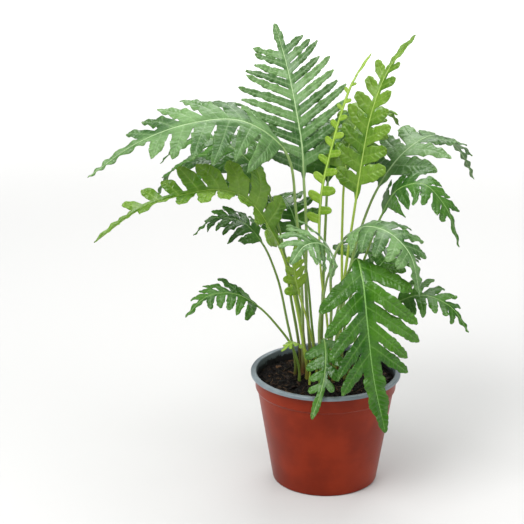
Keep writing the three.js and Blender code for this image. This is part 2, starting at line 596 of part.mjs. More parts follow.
function soilGeometry() {
  const floor = drainRise + wall + soilFloorGap;
  const edge = insideAt(soilTop) - soilGap;
  const points = [];
  const rings = [];
  const ring = (radius, heightAt) => {
    const row = [];
    for (let k = 0; k < soilSides; k++) {
      const a = (2 * Math.PI * k) / soilSides;
      const x = radius * Math.cos(a);
      const y = radius * Math.sin(a);
      row.push(points.push(new THREE.Vector3(x, y, heightAt(x, y, k))) - 1);
    }
    rings.push(row);
  };
  const shoulder = collarFoot - collarStep - stepCorner;
  ring(insideAt(floor) - soilGap, () => floor);
  ring(insideAt(shoulder) - soilGap, () => shoulder);
  ring(collarInner - soilGap, () => collarFoot + soilStep);
  for (let i = soilRings; i > 0; i--) ring((edge * i) / soilRings, (x, y, k) => soilHeight(x, y, i, k));

  const top = points.push(new THREE.Vector3(0, 0, soilHeight(0, 0, 0, 0))) - 1;
  const bottom = points.push(new THREE.Vector3(0, 0, floor)) - 1;
  const triangles = [];
  for (let k = 0; k < soilSides; k++) {
    const m = (k + 1) % soilSides;
    for (let i = 0; i < rings.length - 1; i++) {
      triangles.push([rings[i][k], rings[i][m], rings[i + 1][k]]);
      triangles.push([rings[i][m], rings[i + 1][m], rings[i + 1][k]]);
    }
    triangles.push([rings[rings.length - 1][k], rings[rings.length - 1][m], top]);
    triangles.push([rings[0][m], rings[0][k], bottom]);
  }
  let soil = solidOf(geometryFrom(points, triangles));
  for (const { root: [x, y], thick } of fronds) {
    soil = soil.subtract(pin(x, y, thick + holeClearance, soilTop - holeDepth, 2 * soilTop));
  }
  return geometryOf(soil);
}

// ---------- the object ----------
const looks = {
  pot: new THREE.MeshStandardMaterial({ color: 0x8c3b22, roughness: 0.45 }),
  soil: new THREE.MeshStandardMaterial({ color: 0x2a211b, roughness: 1 }),
  frond: new THREE.MeshStandardMaterial({ color: 0x4f8f2f, roughness: 0.4 }),
};

const group = new THREE.Group();
function put(name, geometry, look) {
  const mesh = new THREE.Mesh(geometry, look);
  mesh.name = name;
  group.add(mesh);
}
put("pot", potGeometry(), looks.pot);
put("soil", soilGeometry(), looks.soil);
for (const frond of fronds) put(frond.name, frondGeometry(frond), looks.frond);

export default group;
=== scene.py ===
# A fern with deeply lobed fronds, in peat in a round nursery pot.
# Sizes are in millimetres until a mesh is made, and the mesh is in metres.
import math

import bmesh
import bpy
import numpy as np
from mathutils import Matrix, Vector


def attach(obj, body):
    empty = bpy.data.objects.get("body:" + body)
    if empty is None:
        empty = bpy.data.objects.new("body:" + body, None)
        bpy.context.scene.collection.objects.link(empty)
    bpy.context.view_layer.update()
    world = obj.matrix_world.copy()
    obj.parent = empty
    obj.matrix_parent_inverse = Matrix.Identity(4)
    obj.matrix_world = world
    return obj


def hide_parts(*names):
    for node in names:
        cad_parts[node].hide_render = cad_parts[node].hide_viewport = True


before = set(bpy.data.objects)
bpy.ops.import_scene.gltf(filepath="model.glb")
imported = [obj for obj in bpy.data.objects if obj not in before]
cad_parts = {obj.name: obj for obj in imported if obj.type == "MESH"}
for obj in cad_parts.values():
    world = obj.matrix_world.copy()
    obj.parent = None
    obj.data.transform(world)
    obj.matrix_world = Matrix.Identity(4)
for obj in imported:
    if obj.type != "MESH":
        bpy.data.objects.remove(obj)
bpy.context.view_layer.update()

mm = 0.001


def mix(a, b, t):  # the value at a share t of the way from a to b
    return a + (b - a) * t


def smooth(t):  # eases from 0 to 1, flat at both ends
    t = np.clip(t, 0, 1)
    return t * t * (3 - 2 * t)


def unit(v):  # vectors brought to length 1
    return v / np.linalg.norm(v, axis=-1, keepdims=True)


def chance(i, j):  # from 0 to 1, looks random, the same at each run: the fraction of a large sine
    v = np.sin(i * 12.9898 + j * 78.233) * 43758.5453
    return v - np.floor(v)


def patchNoise(x, y, size, seed):
    # From -1 to 1: a random value at each corner of a square net, eased between the corners.
    x = x / size
    y = y / size
    column = np.floor(x)
    row = np.floor(y)
    across = smooth(x - column)
    along = smooth(y - row)

    def corner(i, j):  # the odd factors keep seeds, rows and columns apart
        return chance(column + i + seed * 3.7, (row + j) * 1.31 + seed)

    near = mix(corner(0, 0), corner(1, 0), across)
    far = mix(corner(0, 1), corner(1, 1), across)
    return 2 * mix(near, far, along) - 1


def gridFaces(rows, columns, first=0, loop=False):
    # Four-cornered faces of a net of rows x columns points, numbered row by row.
    steps = columns if loop else columns - 1
    i = np.arange(rows - 1)[:, None] * columns
    j = np.arange(steps)[None, :]
    k = (j + 1) % columns
    corners = [i + j, i + k, i + columns + k, i + columns + j]
    return np.stack(corners, -1).reshape(-1, 4) + first


def fanFaces(ring, tip):  # triangles from a row of points to one point
    return np.stack([ring[:-1], ring[1:], np.full(len(ring) - 1, tip)], -1)


def capFaces(around, rows, low, high):
    # Triangles that close a tube of rings: its first ring to the point numbered low, its last to high.
    k = np.arange(around)
    m = (k + 1) % around
    last = (rows - 1) * around
    return np.concatenate([np.stack([m, k, np.full_like(k, low)], -1),
                           np.stack([last + k, last + m, np.full_like(k, high)], -1)])


def evenTurns(count):  # that many directions all round, in radians
    return np.arange(count) * 2 * math.pi / count


def makeMesh(name, points, quads, triangles, materials, quadSlots=0, triangleSlots=0, flat=None):
    # Points in millimetres. flat marks the faces that keep a sharp edge, quads first.
    mesh = bpy.data.meshes.new(name)
    points = np.asarray(points, float).reshape(-1, 3) * mm
    quads = np.asarray(quads, np.int32).reshape(-1, 4)
    triangles = np.asarray(triangles, np.int32).reshape(-1, 3)
    corners = np.concatenate([quads.ravel(), triangles.ravel()])
    sizes = np.concatenate([np.full(len(quads), 4), np.full(len(triangles), 3)])
    starts = np.concatenate([[0], np.cumsum(sizes)[:-1]])
    mesh.vertices.add(len(points))
    mesh.vertices.foreach_set("co", points.astype(np.float32).ravel())
    mesh.loops.add(len(corners))
    mesh.loops.foreach_set("vertex_index", corners.astype(np.int32))
    mesh.polygons.add(len(sizes))
    mesh.polygons.foreach_set("loop_start", starts.astype(np.int32))
    slots = np.concatenate([np.broadcast_to(quadSlots, len(quads)),
                            np.broadcast_to(triangleSlots, len(triangles))])
    mesh.polygons.foreach_set("material_index", slots.astype(np.int32))
    mesh.polygons.foreach_set("use_smooth", np.ones(len(sizes), bool))
    if flat is not None:
        sharp = mesh.attributes.get("sharp_face") or mesh.attributes.new("sharp_face", "BOOLEAN", "FACE")
        sharp.data.foreach_set("value", np.asarray(flat, bool))
    mesh.update(calc_edges=True)
    mesh.validate()
    for material in materials:
        mesh.materials.append(material)
    return mesh


def addValues(mesh, name, values):  # one number at each point, for a material to read
    attribute = mesh.attributes.new(name, "FLOAT", "POINT")
    attribute.data.foreach_set("value", np.asarray(values, np.float32))


def addMap(mesh, name, places):  # a UV map from two numbers at each point
    layer = mesh.uv_layers.new(name=name)
    corners = np.zeros(len(mesh.loops), np.int32)
    mesh.loops.foreach_get("vertex_index", corners)
    layer.uv.foreach_set("vector", places[corners].astype(np.float32).ravel())


def placePiece(name, mesh, slot, *nodes):  # the piece rides on the one body, in the place of the nodes
    piece = bpy.data.objects.new(name, mesh)
    bpy.context.scene.collection.objects.link(piece)
    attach(piece, "root")
    if nodes:
        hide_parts(*nodes)
    return piece


def colour(code):  # an sRGB hex code as linear numbers
    parts = [int(code[i:i + 2], 16) / 255 for i in (1, 3, 5)]
    return [p / 12.92 if p <= 0.04045 else ((p + 0.055) / 1.055) ** 2.4 for p in parts] + [1]


def perMetre(millimetres):  # scale of a pattern whose repeat has that size
    return 1 / (millimetres * mm)


def add(tree, kind, inputs=None, **settings):
    # Adds a node. An input is a number, a colour, an output, or a node, which stands for its first output
    # that is in use.
    made = tree.nodes.new("ShaderNode" + kind)
    for key, value in settings.items():
        setattr(made, key, value)
    for key, value in (inputs or {}).items():
        if isinstance(value, bpy.types.Node):
            value = next(out for out in value.outputs if out.enabled)
        if isinstance(value, bpy.types.NodeSocket):
            tree.links.new(value, made.inputs[key])
        else:
            made.inputs[key].default_value = value
    return made


def newMaterial(name):  # an empty material, its nodes, and the place on the piece that patterns go by
    material = bpy.data.materials.new(name)
    material.use_nodes = True
    tree = material.node_tree
    tree.nodes.clear()
    return material, tree, add(tree, "TexCoord").outputs["Object"]


eased = dict(interpolation_type="SMOOTHSTEP")  # for a MapRange: from 1 to 2, eased, gives from 3 to 4
inColour = dict(data_type="RGBA")  # for a Mix: 0 is the share of 7 in 6


def paint(tree, skin, *layers):
    # Lays layers of colour over a skin. Each has a value, the limits between which the layer sets in, how
    # much of the skin it covers there, and its colour.
    for value, low, high, cover, tone in layers:
        share = add(tree, "MapRange", {0: value, 1: low, 2: high, 4: cover}, **eased)
        skin = add(tree, "Mix", {0: share, 6: skin, 7: colour(tone)}, **inColour)
    return skin


def tint(tree, skin, value, low, high, dark, light):
    # Darkens or lightens a skin by a factor, from dark where the value is low to light where it is high.
    factor = add(tree, "MapRange", {0: value, 1: low, 2: high, 3: dark, 4: light}, **eased)
    return add(tree, "Mix", {0: 1, 6: skin, 7: factor}, **inColour, blend_type="MULTIPLY")


def finished(material, tree, look):
    # Ends the material in a surface with this look.
    add(tree, "OutputMaterial", {0: add(tree, "BsdfPrincipled", look)})
    return material


# The fronds have the same places and formulas as the solids. Shares are of the blade's length, and for
# tipBelly and broadest, of the lobe's own.
soilTop = 84
holeDepth = 13
footGap = 0.8  # between the stalk's foot and the bottom of its hole
straightRise = 5  # the stalk is straight up to this height above the soil
bladeBase = 1  # half width of the blade where it begins
lobeGap = 1.1  # the cut between two lobes, at its inner end
firstLobe = 0.05  # where the lobes begin
alternate = (0.28, 0.72)  # where the lobes of the two sides stand, as shares of their spacing
crowding = 0.92  # below 1, the lobes stand closer together towards the tip
tipGap = 0.05  # from the last lobe to the tip lobe
tipBelly = 0.36  # the most that a tip lobe's half width may be
tipSwell = 2.6  # it reaches that width at its length divided by this
longTip = 30  # a tip lobe longer than this has a waved edge
tipWave = 0.12  # how far that edge waves, as a share of the half width
longestAt = 0.24  # where the lobes are longest
firstShare = 0.7  # length of the first lobes, as a share of the longest
shrink = 0.88  # how much of that length is lost from there to the tip
broadest = 0.36  # half the width of a short lobe
sizeRange = (0.83, 1.07)  # lobes differ in length by these factors
strayMost = 8  # and in their lean by up to half this many degrees, slender lobes less
strayShare = 20
fanning = 0.3  # how much a lobe widens outwards, as a share of the room there
liftRange = 22  # lobes differ in their fold by up to half this many degrees
bendRange = 0.7  # and in how far they bend down by up to half this share
cupping = 0.16  # how far a lobe's edges stand up, as a share of its half width
cupMean = 0.35  # this share of the lobes is cupped downwards
sway = 0.055  # a lobe's line goes up and down by this share of its length
swayTurn = 5.2  # in one wave of this many radians
stalkTaper = 0.72  # the stalk's thickness at the blade, as a share of that at the soil

# root: where the frond leaves the soil, and thick: radius of its stalk there. stalk, blade: points that its
# midrib goes through. heading: the direction it leans in, from +X. roll: turn about the midrib, and lean:
# how far the lobes lean from it, both at the blade's base and tip, in degrees. half: longest lobe. wing:
# half width of the strip along the midrib at its base and its end, and of the tip lobe. pairs: lobes on
# each side. tip: where the tip lobe begins. fold: lift of the lobes. droop: how far they bend down. curl:
# how far they turn to the tip, in radians. round: 0 for pointed lobes, 1 for blunt ones. leaf: the kind of
# leaf, with its colours and margin.
fronds = [
    dict(name="frond_centre_tall", leaf="silvery", root=(-12, 12), thick=1.5,
         heading=98, roll=(-4, -4), lean=(64, 60), stalk=[(-16, 16, 160), (-16, 21, 208)],
         blade=[(-18, 30, 242), (-19, 35, 263), (-24, 46, 294), (-32, 68, 328), (-41, 93, 354)],
         half=54, wing=(2.4, 3.4, 4.6), pairs=11, tip=0.87, fold=8, droop=24, curl=0.1,
         round=0.65, seed=1),
    dict(name="frond_left_high", leaf="silvery", root=(-18, 7), thick=1.5,
         heading=195, roll=(-28, -20), lean=(76, 40), stalk=[(-19, 10, 150), (-24, 13, 218)],
         blade=[(-34, 6, 272), (-66, -4, 297), (-107, -17, 298), (-143, -28, 287), (-182, -38, 262)],
         half=42, wing=(7, 4.5, 5.6), pairs=6, tip=0.76, fold=6, droop=48, curl=0.2,
         round=0.15, seed=2),
    dict(name="frond_left_flat", leaf="fresh", root=(-15, -3), thick=1.4,
         heading=195, roll=(-46, -12), lean=(84, 46), stalk=[(-19, -2, 120), (-27, -4, 162)],
         blade=[(-37, -6, 196), (-45, -8, 212), (-55, -10, 229), (-67, -14, 241),
                (-84, -19, 247), (-108, -27, 246), (-140, -35, 238), (-178, -45, 213)],
         half=28, wing=(3, 2.8, 4.2), pairs=8, tip=0.84, fold=36, droop=22, curl=0.25,
         round=0.6, seed=3),
    dict(name="frond_young_upright", leaf="young", root=(-7, 3), thick=1.1,
         heading=130, roll=(0, 0), lean=(80, 50), stalk=[(-11, -4, 118), (-16, -9, 140)],
         blade=[(-22, -12, 160), (-26, -14, 180), (-25, -14, 204)],
         half=13, wing=(1.9, 1.6, 2.6), pairs=4, tip=0.8, fold=10, droop=24, curl=0.25,
         round=0.9, seed=4),
    dict(name="frond_front_large", leaf="glossy", root=(6, -8), thick=1.5,
         heading=-82, roll=(4, -6), lean=(60, 34), stalk=[(10, -12, 140), (16, -19, 181)],
         blade=[(22, -30, 195), (25, -44, 186), (29, -59, 152), (34, -69, 112), (43, -80, 72)],
         half=44, wing=(6.5, 7.5, 10), pairs=5, tip=0.68, fold=10, droop=26, curl=0.1,
         round=0.55, seed=5),
    dict(name="frond_right_arched", leaf="silvery", root=(3, 0), thick=1.4,
         heading=-36, roll=(5, 12), lean=(90, 46), stalk=[(4, 2, 146), (4, 0, 180)],
         blade=[(12, -5, 202), (27, -12, 215), (43, -24, 216), (60, -38, 204), (69, -51, 172)],
         half=32, wing=(5, 4, 5.4), pairs=5, tip=0.76, fold=6, droop=54, curl=0.25,
         round=0.8, seed=6),
    dict(name="frond_front_left", leaf="silvery", root=(-4, -10), thick=1.2,
         heading=225, roll=(-30, -34), lean=(78, 46), stalk=[(-6, -13, 134), (-1, -22, 174)],
         blade=[(3, -33, 199), (-7, -44, 212), (-19, -56, 214), (-30, -67, 203)],
         half=30, wing=(4.6, 3.6, 5), pairs=5, tip=0.76, fold=4, droop=34, curl=0.25,
         round=0.7, seed=25),
    dict(name="frond_front_small", leaf="mature", root=(-5, -18), thick=1.2,
         heading=-95, roll=(-4, 8), lean=(74, 46), stalk=[(-4, -22, 112)],
         blade=[(-3, -31, 130), (-2, -42, 127), (-3, -56, 109), (-13, -73, 80)],
         half=15, wing=(3, 2.6, 3.8), pairs=4, tip=0.72, fold=6, droop=24, curl=0.25,
         round=0.9, seed=8),
    dict(name="frond_right_middle", leaf="mature", root=(13, 8), thick=1.3,
         heading=-13, roll=(24, 12), lean=(80, 44), stalk=[(18, 15, 140), (32, 22, 182)],
         blade=[(44, 24, 214), (57, 19, 237), (74, 12, 243), (91, 4, 228), (103, -4, 196)],
         half=28, wing=(3.6, 3, 4.4), pairs=6, tip=0.78, fold=4, droop=36, curl=0.25,
         round=0.55, seed=9),
    dict(name="frond_right_tall", leaf="fresh", root=(8, 5), thick=1.4,
         heading=30, roll=(40, 14), lean=(74, 46), stalk=[(11, 9, 130), (17, 14, 185)],
         blade=[(23, 19, 228), (28, 24, 262), (35, 30, 297), (50, 42, 331), (70, 57, 352)],
         half=24, wing=(2.8, 2.4, 3.8), pairs=7, tip=0.82, fold=16, droop=22, curl=0.25,
         round=0.6, seed=10),
    dict(name="frond_right_slender", leaf="young", root=(4, 11), thick=1.1,
         heading=40, roll=(20, 0), lean=(80, 62), stalk=[(1, 10, 130), (-4, 9, 168)],
         blade=[(-6, 9, 202), (-4, 9, 240), (3, 12, 272), (10, 18, 297), (19, 26, 320),
                (34, 38, 341)],
         half=11, wing=(1.2, 1, 1.8), pairs=8, tip=0.88, fold=10, droop=20, curl=0.25,
         round=1, seed=21),
    dict(name="frond_left_low", leaf="mature", root=(-21, -6), thick=1.2,
         heading=200, roll=(-20, -8), lean=(80, 46), stalk=[(-26, -7, 112), (-39, -10, 133)],
         blade=[(-54, -15, 151), (-73, -22, 164), (-93, -31, 165), (-110, -40, 151)],
         half=23, wing=(3.4, 2.6, 4), pairs=5, tip=0.78, fold=4, droop=30, curl=0.25,
         round=0.6, seed=11),
    dict(name="frond_back_middle", leaf="mature", root=(-3, 22), thick=1.4,
         heading=88, roll=(0, 6), lean=(80, 48), stalk=[(-2, 28, 140), (0, 42, 198)],
         blade=[(2, 56, 232), (6, 78, 262), (10, 104, 270), (12, 128, 256), (12, 146, 226)],
         half=38, wing=(5, 4, 5.4), pairs=5, tip=0.78, fold=6, droop=34, curl=0.25,
         round=0.5, seed=12),
    dict(name="frond_back_left", leaf="mature", root=(-16, 20), thick=1.4,
         heading=142, roll=(0, -8), lean=(80, 46), stalk=[(-22, 27, 140), (-38, 42, 190)],
         blade=[(-53, 56, 220), (-76, 76, 242), (-102, 96, 244), (-126, 113, 226), (-142, 124, 196)],
         half=36, wing=(5, 4, 5.2), pairs=5, tip=0.78, fold=6, droop=34, curl=0.25,
         round=0.35, seed=24),
    dict(name="frond_back_right", leaf="silvery", root=(10, 19), thick=1.4,
         heading=42, roll=(0, 8), lean=(80, 48), stalk=[(15, 26, 140), (28, 40, 196)],
         blade=[(43, 53, 229), (66, 72, 254), (90, 93, 261), (112, 110, 246), (128, 120, 216)],
         half=36, wing=(5, 4, 5.2), pairs=5, tip=0.78, fold=6, droop=34, curl=0.25,
         round=0.5, seed=14),
    dict(name="frond_right_low", leaf="mature", root=(15, -3), thick=1.2,
         heading=-14, roll=(26, 12), lean=(80, 46), stalk=[(22, -4, 112), (38, -7, 136)],
         blade=[(54, -11, 152), (74, -17, 161), (95, -23, 154), (110, -28, 134)],
         half=23, wing=(3.4, 2.6, 4), pairs=5, tip=0.78, fold=4, droop=30, curl=0.25,
         round=0.6, seed=15),
    dict(name="frond_back_low", leaf="glossy", root=(4, 27), thick=1.2,
         heading=70, roll=(0, 6), lean=(80, 46), stalk=[(8, 36, 116), (16, 54, 142)],
         blade=[(24, 72, 160), (33, 93, 168), (40, 114, 160), (44, 130, 138)],
         half=23, wing=(3.4, 2.6, 4), pairs=4, tip=0.78, fold=4, droop=30, curl=0.25,
         round=0.6, seed=16),
    dict(name="frond_upper_left", leaf="mature", root=(-20, 16), thick=1.3,
         heading=152, roll=(-14, -8), lean=(80, 46), stalk=[(-28, 25, 146), (-38, 36, 202)],
         blade=[(-50, 44, 236), (-70, 53, 258), (-93, 60, 267), (-116, 66, 261), (-134, 71, 243)],
         half=27, wing=(3.6, 3, 4.4), pairs=5, tip=0.78, fold=6, droop=36, curl=0.25,
         round=0.5, seed=18),
    dict(name="frond_upper_right", leaf="fresh", root=(12, 13), thick=1.3,
         heading=60, roll=(8, 12), lean=(80, 46), stalk=[(13, 20, 150), (13, 29, 206)],
         blade=[(15, 39, 244), (21, 53, 272), (33, 69, 288), (48, 85, 286), (62, 99, 268)],
         half=26, wing=(3.6, 3, 4.4), pairs=5, tip=0.78, fold=6, droop=36, curl=0.25,
         round=0.6, seed=19),
    dict(name="frond_inner_back", leaf="glossy", root=(-8, 25), thick=1.2,
         heading=108, roll=(0, -6), lean=(78, 46), stalk=[(-11, 32, 124), (-15, 42, 162)],
         blade=[(-21, 54, 188), (-29, 72, 207), (-38, 92, 210), (-46, 110, 194)],
         half=29, wing=(3.6, 3, 4.6), pairs=5, tip=0.78, fold=4, droop=30, curl=0.25,
         round=0.6, seed=20),
    dict(name="frond_inner_left", leaf="mature", root=(-24, 6), thick=1.2,
         heading=170, roll=(-8, -8), lean=(80, 46), stalk=[(-31, 11, 130), (-40, 16, 168)],
         blade=[(-51, 20, 192), (-67, 24, 208), (-87, 26, 211), (-106, 27, 196)],
         half=27, wing=(3.6, 3, 4.4), pairs=5, tip=0.78, fold=4, droop=32, curl=0.25,
         round=0.55, seed=23),
    dict(name="frond_inner_right", leaf="glossy", root=(19, 10), thick=1.2,
         heading=38, roll=(8, 8), lean=(78, 46), stalk=[(24, 14, 110), (29, 19, 138)],
         blade=[(37, 26, 158), (49, 36, 173), (64, 48, 175), (78, 60, 162)],
         half=23, wing=(3.4, 2.6, 4), pairs=4, tip=0.78, fold=4, droop=30, curl=0.25,
         round=0.6, seed=22),
    dict(name="frond_young_low", leaf="young", root=(-13, -13), thick=0.9,
         heading=210, roll=(0, 0), lean=(70, 50), stalk=[(-14, -14, 108)],
         blade=[(-19, -16, 118), (-27, -20, 122), (-36, -25, 117)],
         half=8, wing=(1.6, 1.4, 2), pairs=3, tip=0.78, fold=4, droop=20, curl=0.25,
         round=1, seed=17),
]


def pathOf(frond):
    # A smooth curve through the frond's points, from the foot of its stalk in the soil to its tip. Each
    # slope is the mean of the two chords that meet there, weighted by the other's length.
    x, y = frond["root"]
    foot = [(x, y, soilTop - holeDepth + footGap), (x, y, soilTop + straightRise)]
    knots = np.array(foot + frond["stalk"] + frond["blade"], float)
    chords = np.diff(knots, axis=0)
    size = np.linalg.norm(chords, axis=1)[:, None]
    line = chords / size
    slope = np.zeros_like(knots)
    slope[:2] = (0, 0, 1)
    slope[-1] = line[-1]
    slope[2:-1] = mix(line[1:-1], line[2:], size[1:-1] / (size[1:-1] + size[2:]))
    steps = 60
    t = (np.arange(steps) / steps)[None, :, None]
    points = ((2 * t ** 3 - 3 * t ** 2 + 1) * knots[:-1, None]
              + (t ** 3 - 2 * t ** 2 + t) * (slope[:-1] * size)[:, None]
              + (3 * t ** 2 - 2 * t ** 3) * knots[1:, None]
              + (t ** 3 - t ** 2) * (slope[1:] * size)[:, None]).reshape(-1, 3)
    points = np.concatenate([points, knots[-1:]])
    length = np.concatenate([[0], np.cumsum(np.linalg.norm(np.diff(points, axis=0), axis=1))])
    start = length[(len(knots) - len(frond["blade"])) * steps]
    return dict(points=points, length=length, along=unit(np.gradient(points, axis=0)), start=start,
                bladeLength=length[-1] - start)


def frameAt(frond, path, s):
    # Centre, side and upper normal of the frond at s mm from the start of its blade. Past the tip it
    # goes on straight.
    place = s + path["start"]
    inside = np.clip(place, 0, path["length"][-1])
    axes = range(3)
    centre = np.stack([np.interp(inside, path["length"], path["points"][:, k]) for k in axes], -1)
    along = unit(np.stack([np.interp(inside, path["length"], path["along"][:, k]) for k in axes], -1))
    centre = centre + along * (place - inside)[..., None]
    heading = math.radians(frond["heading"])
    across = np.array([-math.sin(heading), math.cos(heading), 0])
    across = unit(across - along * (along @ across)[..., None])
    up = np.cross(along, across)
    roll = np.radians(mix(*frond["roll"], np.clip(s / path["bladeLength"], 0, 1)))[..., None]
    side = across * np.cos(roll) + up * np.sin(roll)
    normal = up * np.cos(roll) - across * np.sin(roll)
    return centre, side, normal


def lobeShare(u):
    # Length of the lobes along the blade, as a share of the longest: it rises to longestAt along a parabola
    # that is flat there, and falls from there by a power of the way that is left.
    rising = 1 - (1 - firstShare) * (1 - np.minimum(u / longestAt, 1)) ** 2
    return rising - shrink * np.clip((u - longestAt) / (1 - longestAt), 0, 1) ** 1.1


def stripHalf(frond, s, bladeLength):
    # Half width of the blade's middle strip: it widens to a wing beside the midrib, and ends in the tip
    # lobe, whose outline lies between a pointed and a blunt one.
    wingBase, wingTip, tipHalf = frond["wing"]
    begin = firstLobe * bladeLength
    end = frond["tip"] * bladeLength
    tipLength = bladeLength - end
    t = np.clip((s - end) / tipLength, 0, 1)
    waves = tipWave * np.cos(5 * np.pi * (t - 0.1)) if tipLength > longTip else 0
    width = mix(wingTip, min(tipHalf, tipBelly * tipLength), np.minimum(1, t * tipSwell))
    inTip = width * mix((1 - t) ** 0.8, np.sqrt(1 - t ** 1.7), frond["round"]) * (1 + waves)
    wing = mix(wingBase, wingTip, (s - begin) / (end - begin))
    return np.select([s < begin, s < end], [mix(bladeBase, wingBase, s / begin), wing], inTip)


def lobesOf(frond, bladeLength, side):
    # The lobes of one side, each value an array. They stand at a power of even steps along the blade, and
    # their lean, length and lift stray by chance. at: middle of the root on the midrib. rootHalf: half the
    # root's length. size: length. angle: lean. width, spread: half width, and how much it grows to the tip.
    # lift: out of the blade's plane, from -0.5 to 0.5.
    pairs = frond["pairs"]
    seed = frond["seed"]
    index = np.arange(pairs)

    def place(k):
        return bladeLength * mix(firstLobe, frond["tip"] - tipGap, (k / pairs) ** crowding)

    at = place(index + alternate[0 if side > 0 else 1])
    pitch = place(index + 1) - place(index)
    u = at / bladeLength
    leanBase, leanTip = frond["lean"]
    stray = np.minimum(strayMost, strayShare * pitch / frond["half"])
    angle = np.radians(mix(leanBase, leanTip, u) + stray * (chance(seed, index * 7 + side) - 0.5))
    size = frond["half"] * lobeShare(u) * mix(*sizeRange, chance(seed + 3, index * 5 + side))
    return dict(index=index, at=at, size=size, angle=angle,
                rootHalf=np.minimum((pitch - lobeGap) / 2, broadest * size),
                width=np.minimum((pitch * np.sin(angle) - lobeGap) / 2, broadest * size),
                spread=fanning * size * math.radians(leanBase - leanTip) / pairs,
                lift=chance(seed + 5, index * 3 + side) - 0.5)


def lobeHalf(frond, lobes, t):  # half width at a share t of the lobe, between a pointed and a blunt outline
    pointed = (1 - t) ** 0.75 * (1 + 0.55 * t)
    blunt = np.sqrt(1 - t ** 3.2) * (0.92 + 0.16 * t)
    return (lobes["width"] + lobes["spread"] * t) * mix(pointed, blunt, frond["round"])


def bladePoint(frond, path, side, s, q, rise, lift):
    # A place in the flat blade, s along and q across, in space. The blade is folded up along its midrib
    # and bends down evenly from there: each cross-section is an arc.
    centre, sideways, normal = frameAt(frond, path, s)
    bend = math.radians(frond["droop"]) / frond["half"] * (1 + bendRange * lift)
    fold = np.radians(frond["fold"] + liftRange * lift)
    turn = bend * q - fold
    out = (np.sin(turn) + np.sin(fold)) / bend
    up = rise + (np.cos(turn) - np.cos(fold)) / bend
    return centre + sideways * (side * out)[..., None] + normal * up[..., None]


def lobeLine(frond, lobes, length, t):
    # The lobe's line at a share t of its length, in the flat blade. It starts from the strip's edge in the
    # direction of its lean, and turns to the frond's tip by an angle that grows evenly with t.
    angle, size = lobes["angle"], lobes["size"]
    turn = 0.5 * frond["curl"] * t * t
    s = lobes["at"] + size * (t * np.cos(angle) + turn * np.sin(angle))
    q = stripHalf(frond, lobes["at"], length) + size * (t * np.sin(angle) - turn * np.cos(angle))
    return s, q


# tooth, toothSize: how far the margin's teeth stand out, and their spacing. wave: how far the margin waves
# up and down, waveSize: the length of one wave. blister: height of the leaf between its side veins.
margins = {
    "silvery": dict(tooth=0.7, toothSize=4.2, wave=1.8, waveSize=11, blister=0.66),
    "glossy": dict(tooth=0.9, toothSize=5.0, wave=1.5, waveSize=12, blister=0.66),
    "fresh": dict(tooth=0.55, toothSize=3.8, wave=1.2, waveSize=11, blister=0.55),
    "mature": dict(tooth=0.7, toothSize=4.0, wave=1.3, waveSize=11, blister=0.52),
    "young": dict(tooth=0.3, toothSize=3.4, wave=0.4, waveSize=9, blister=0.2),
}
bladeShape = dict(
    thickness=0.42,
    marginThickness=0.22,
    rowStep=0.75,  # between the rows of a lobe
    rowCrowding=1.25,  # above 1, its rows stand closer together towards its tip
    lastRow=0.995,  # no row goes beyond this share of the lobe
    columnStep=0.7,  # across a lobe
    stripStep=1.1,  # between the rows of the strip along the midrib
    gapStep=2,  # between its columns from one lobe to the next
    baseColumns=4,  # columns from the blade's base to its first lobe
    tipColumns=12,  # and the least number of them on the tip lobe
    innerEdge=0.12,  # where the strip begins, from the middle of the midrib
    leastHalf=0.25,  # of the strip
    endGap=0.15,  # from the blade's end to the midrib's
    tipFade=(4, 3),  # over these lengths the tip lobe's own forms set in and end
    veinStep=3.9,  # between side veins
    leastVeins=3,
    veinSweep=0.95,  # how much the side veins lean to the lobe's tip
    tipSweep=0.6,  # and on the lobe at the frond's tip
    veinHalf=0.7,  # half width of the lobe's middle vein
    groove=0.22,  # its depth on the upper side
    keel=0.4,  # its height on the underside
    dome=0.5,  # height of the leaf between two lobes' middle veins on the strip
    domeRise=2.4,  # that height is reached about this far from them
    twist=0.12,  # how much a lobe turns about its line on the way to its tip
    swelling=0.09,  # a lobe's sides swell and narrow by this share,
    swellingFrom=0.32,  # first outwards from here on,
    swellingSize=0.42,  # in waves of this length, as shares of its own
    slender=2.5,  # the teeth of a lobe shrink where its half width is less
    tipWaves=0.7,  # height of the waves on the tip lobe, as a share of the others'
    wander=0.22,  # how far those waves move, as a share of one, so that no two are alike,
    wanderSize=7,  # over this length
    stripReach=0.12,  # share of the way from midrib to lobe's tip that lies on the strip
)


def firstRowAt(size):  # up to this share of its length a lobe narrows in from its root in straight lines
    return np.select([size > 40, size > 19, size > 10], [0.2, 0.26, 0.4], 0.6)


def veinsOf(size):  # number of side veins on a lobe
    return np.maximum(bladeShape["leastVeins"], np.round(size / bladeShape["veinStep"]))


def scallops(x, seed):
    # Rounded teeth with a narrow notch between them, one for each whole number of x: the root of a sine
    # arch, each with a height of its own, from 0.4 to 1.
    which = np.floor(x)
    bulge = np.abs(np.sin(np.pi * (x - which) ** 0.85)) ** 0.6
    return bulge * mix(0.4, 1, chance(which, seed)) - 0.5


def quilt(phase):  # the leaf between side veins: a broad arch from each whole number of phase to the next
    return np.abs(np.sin(np.pi * phase)) ** 0.8


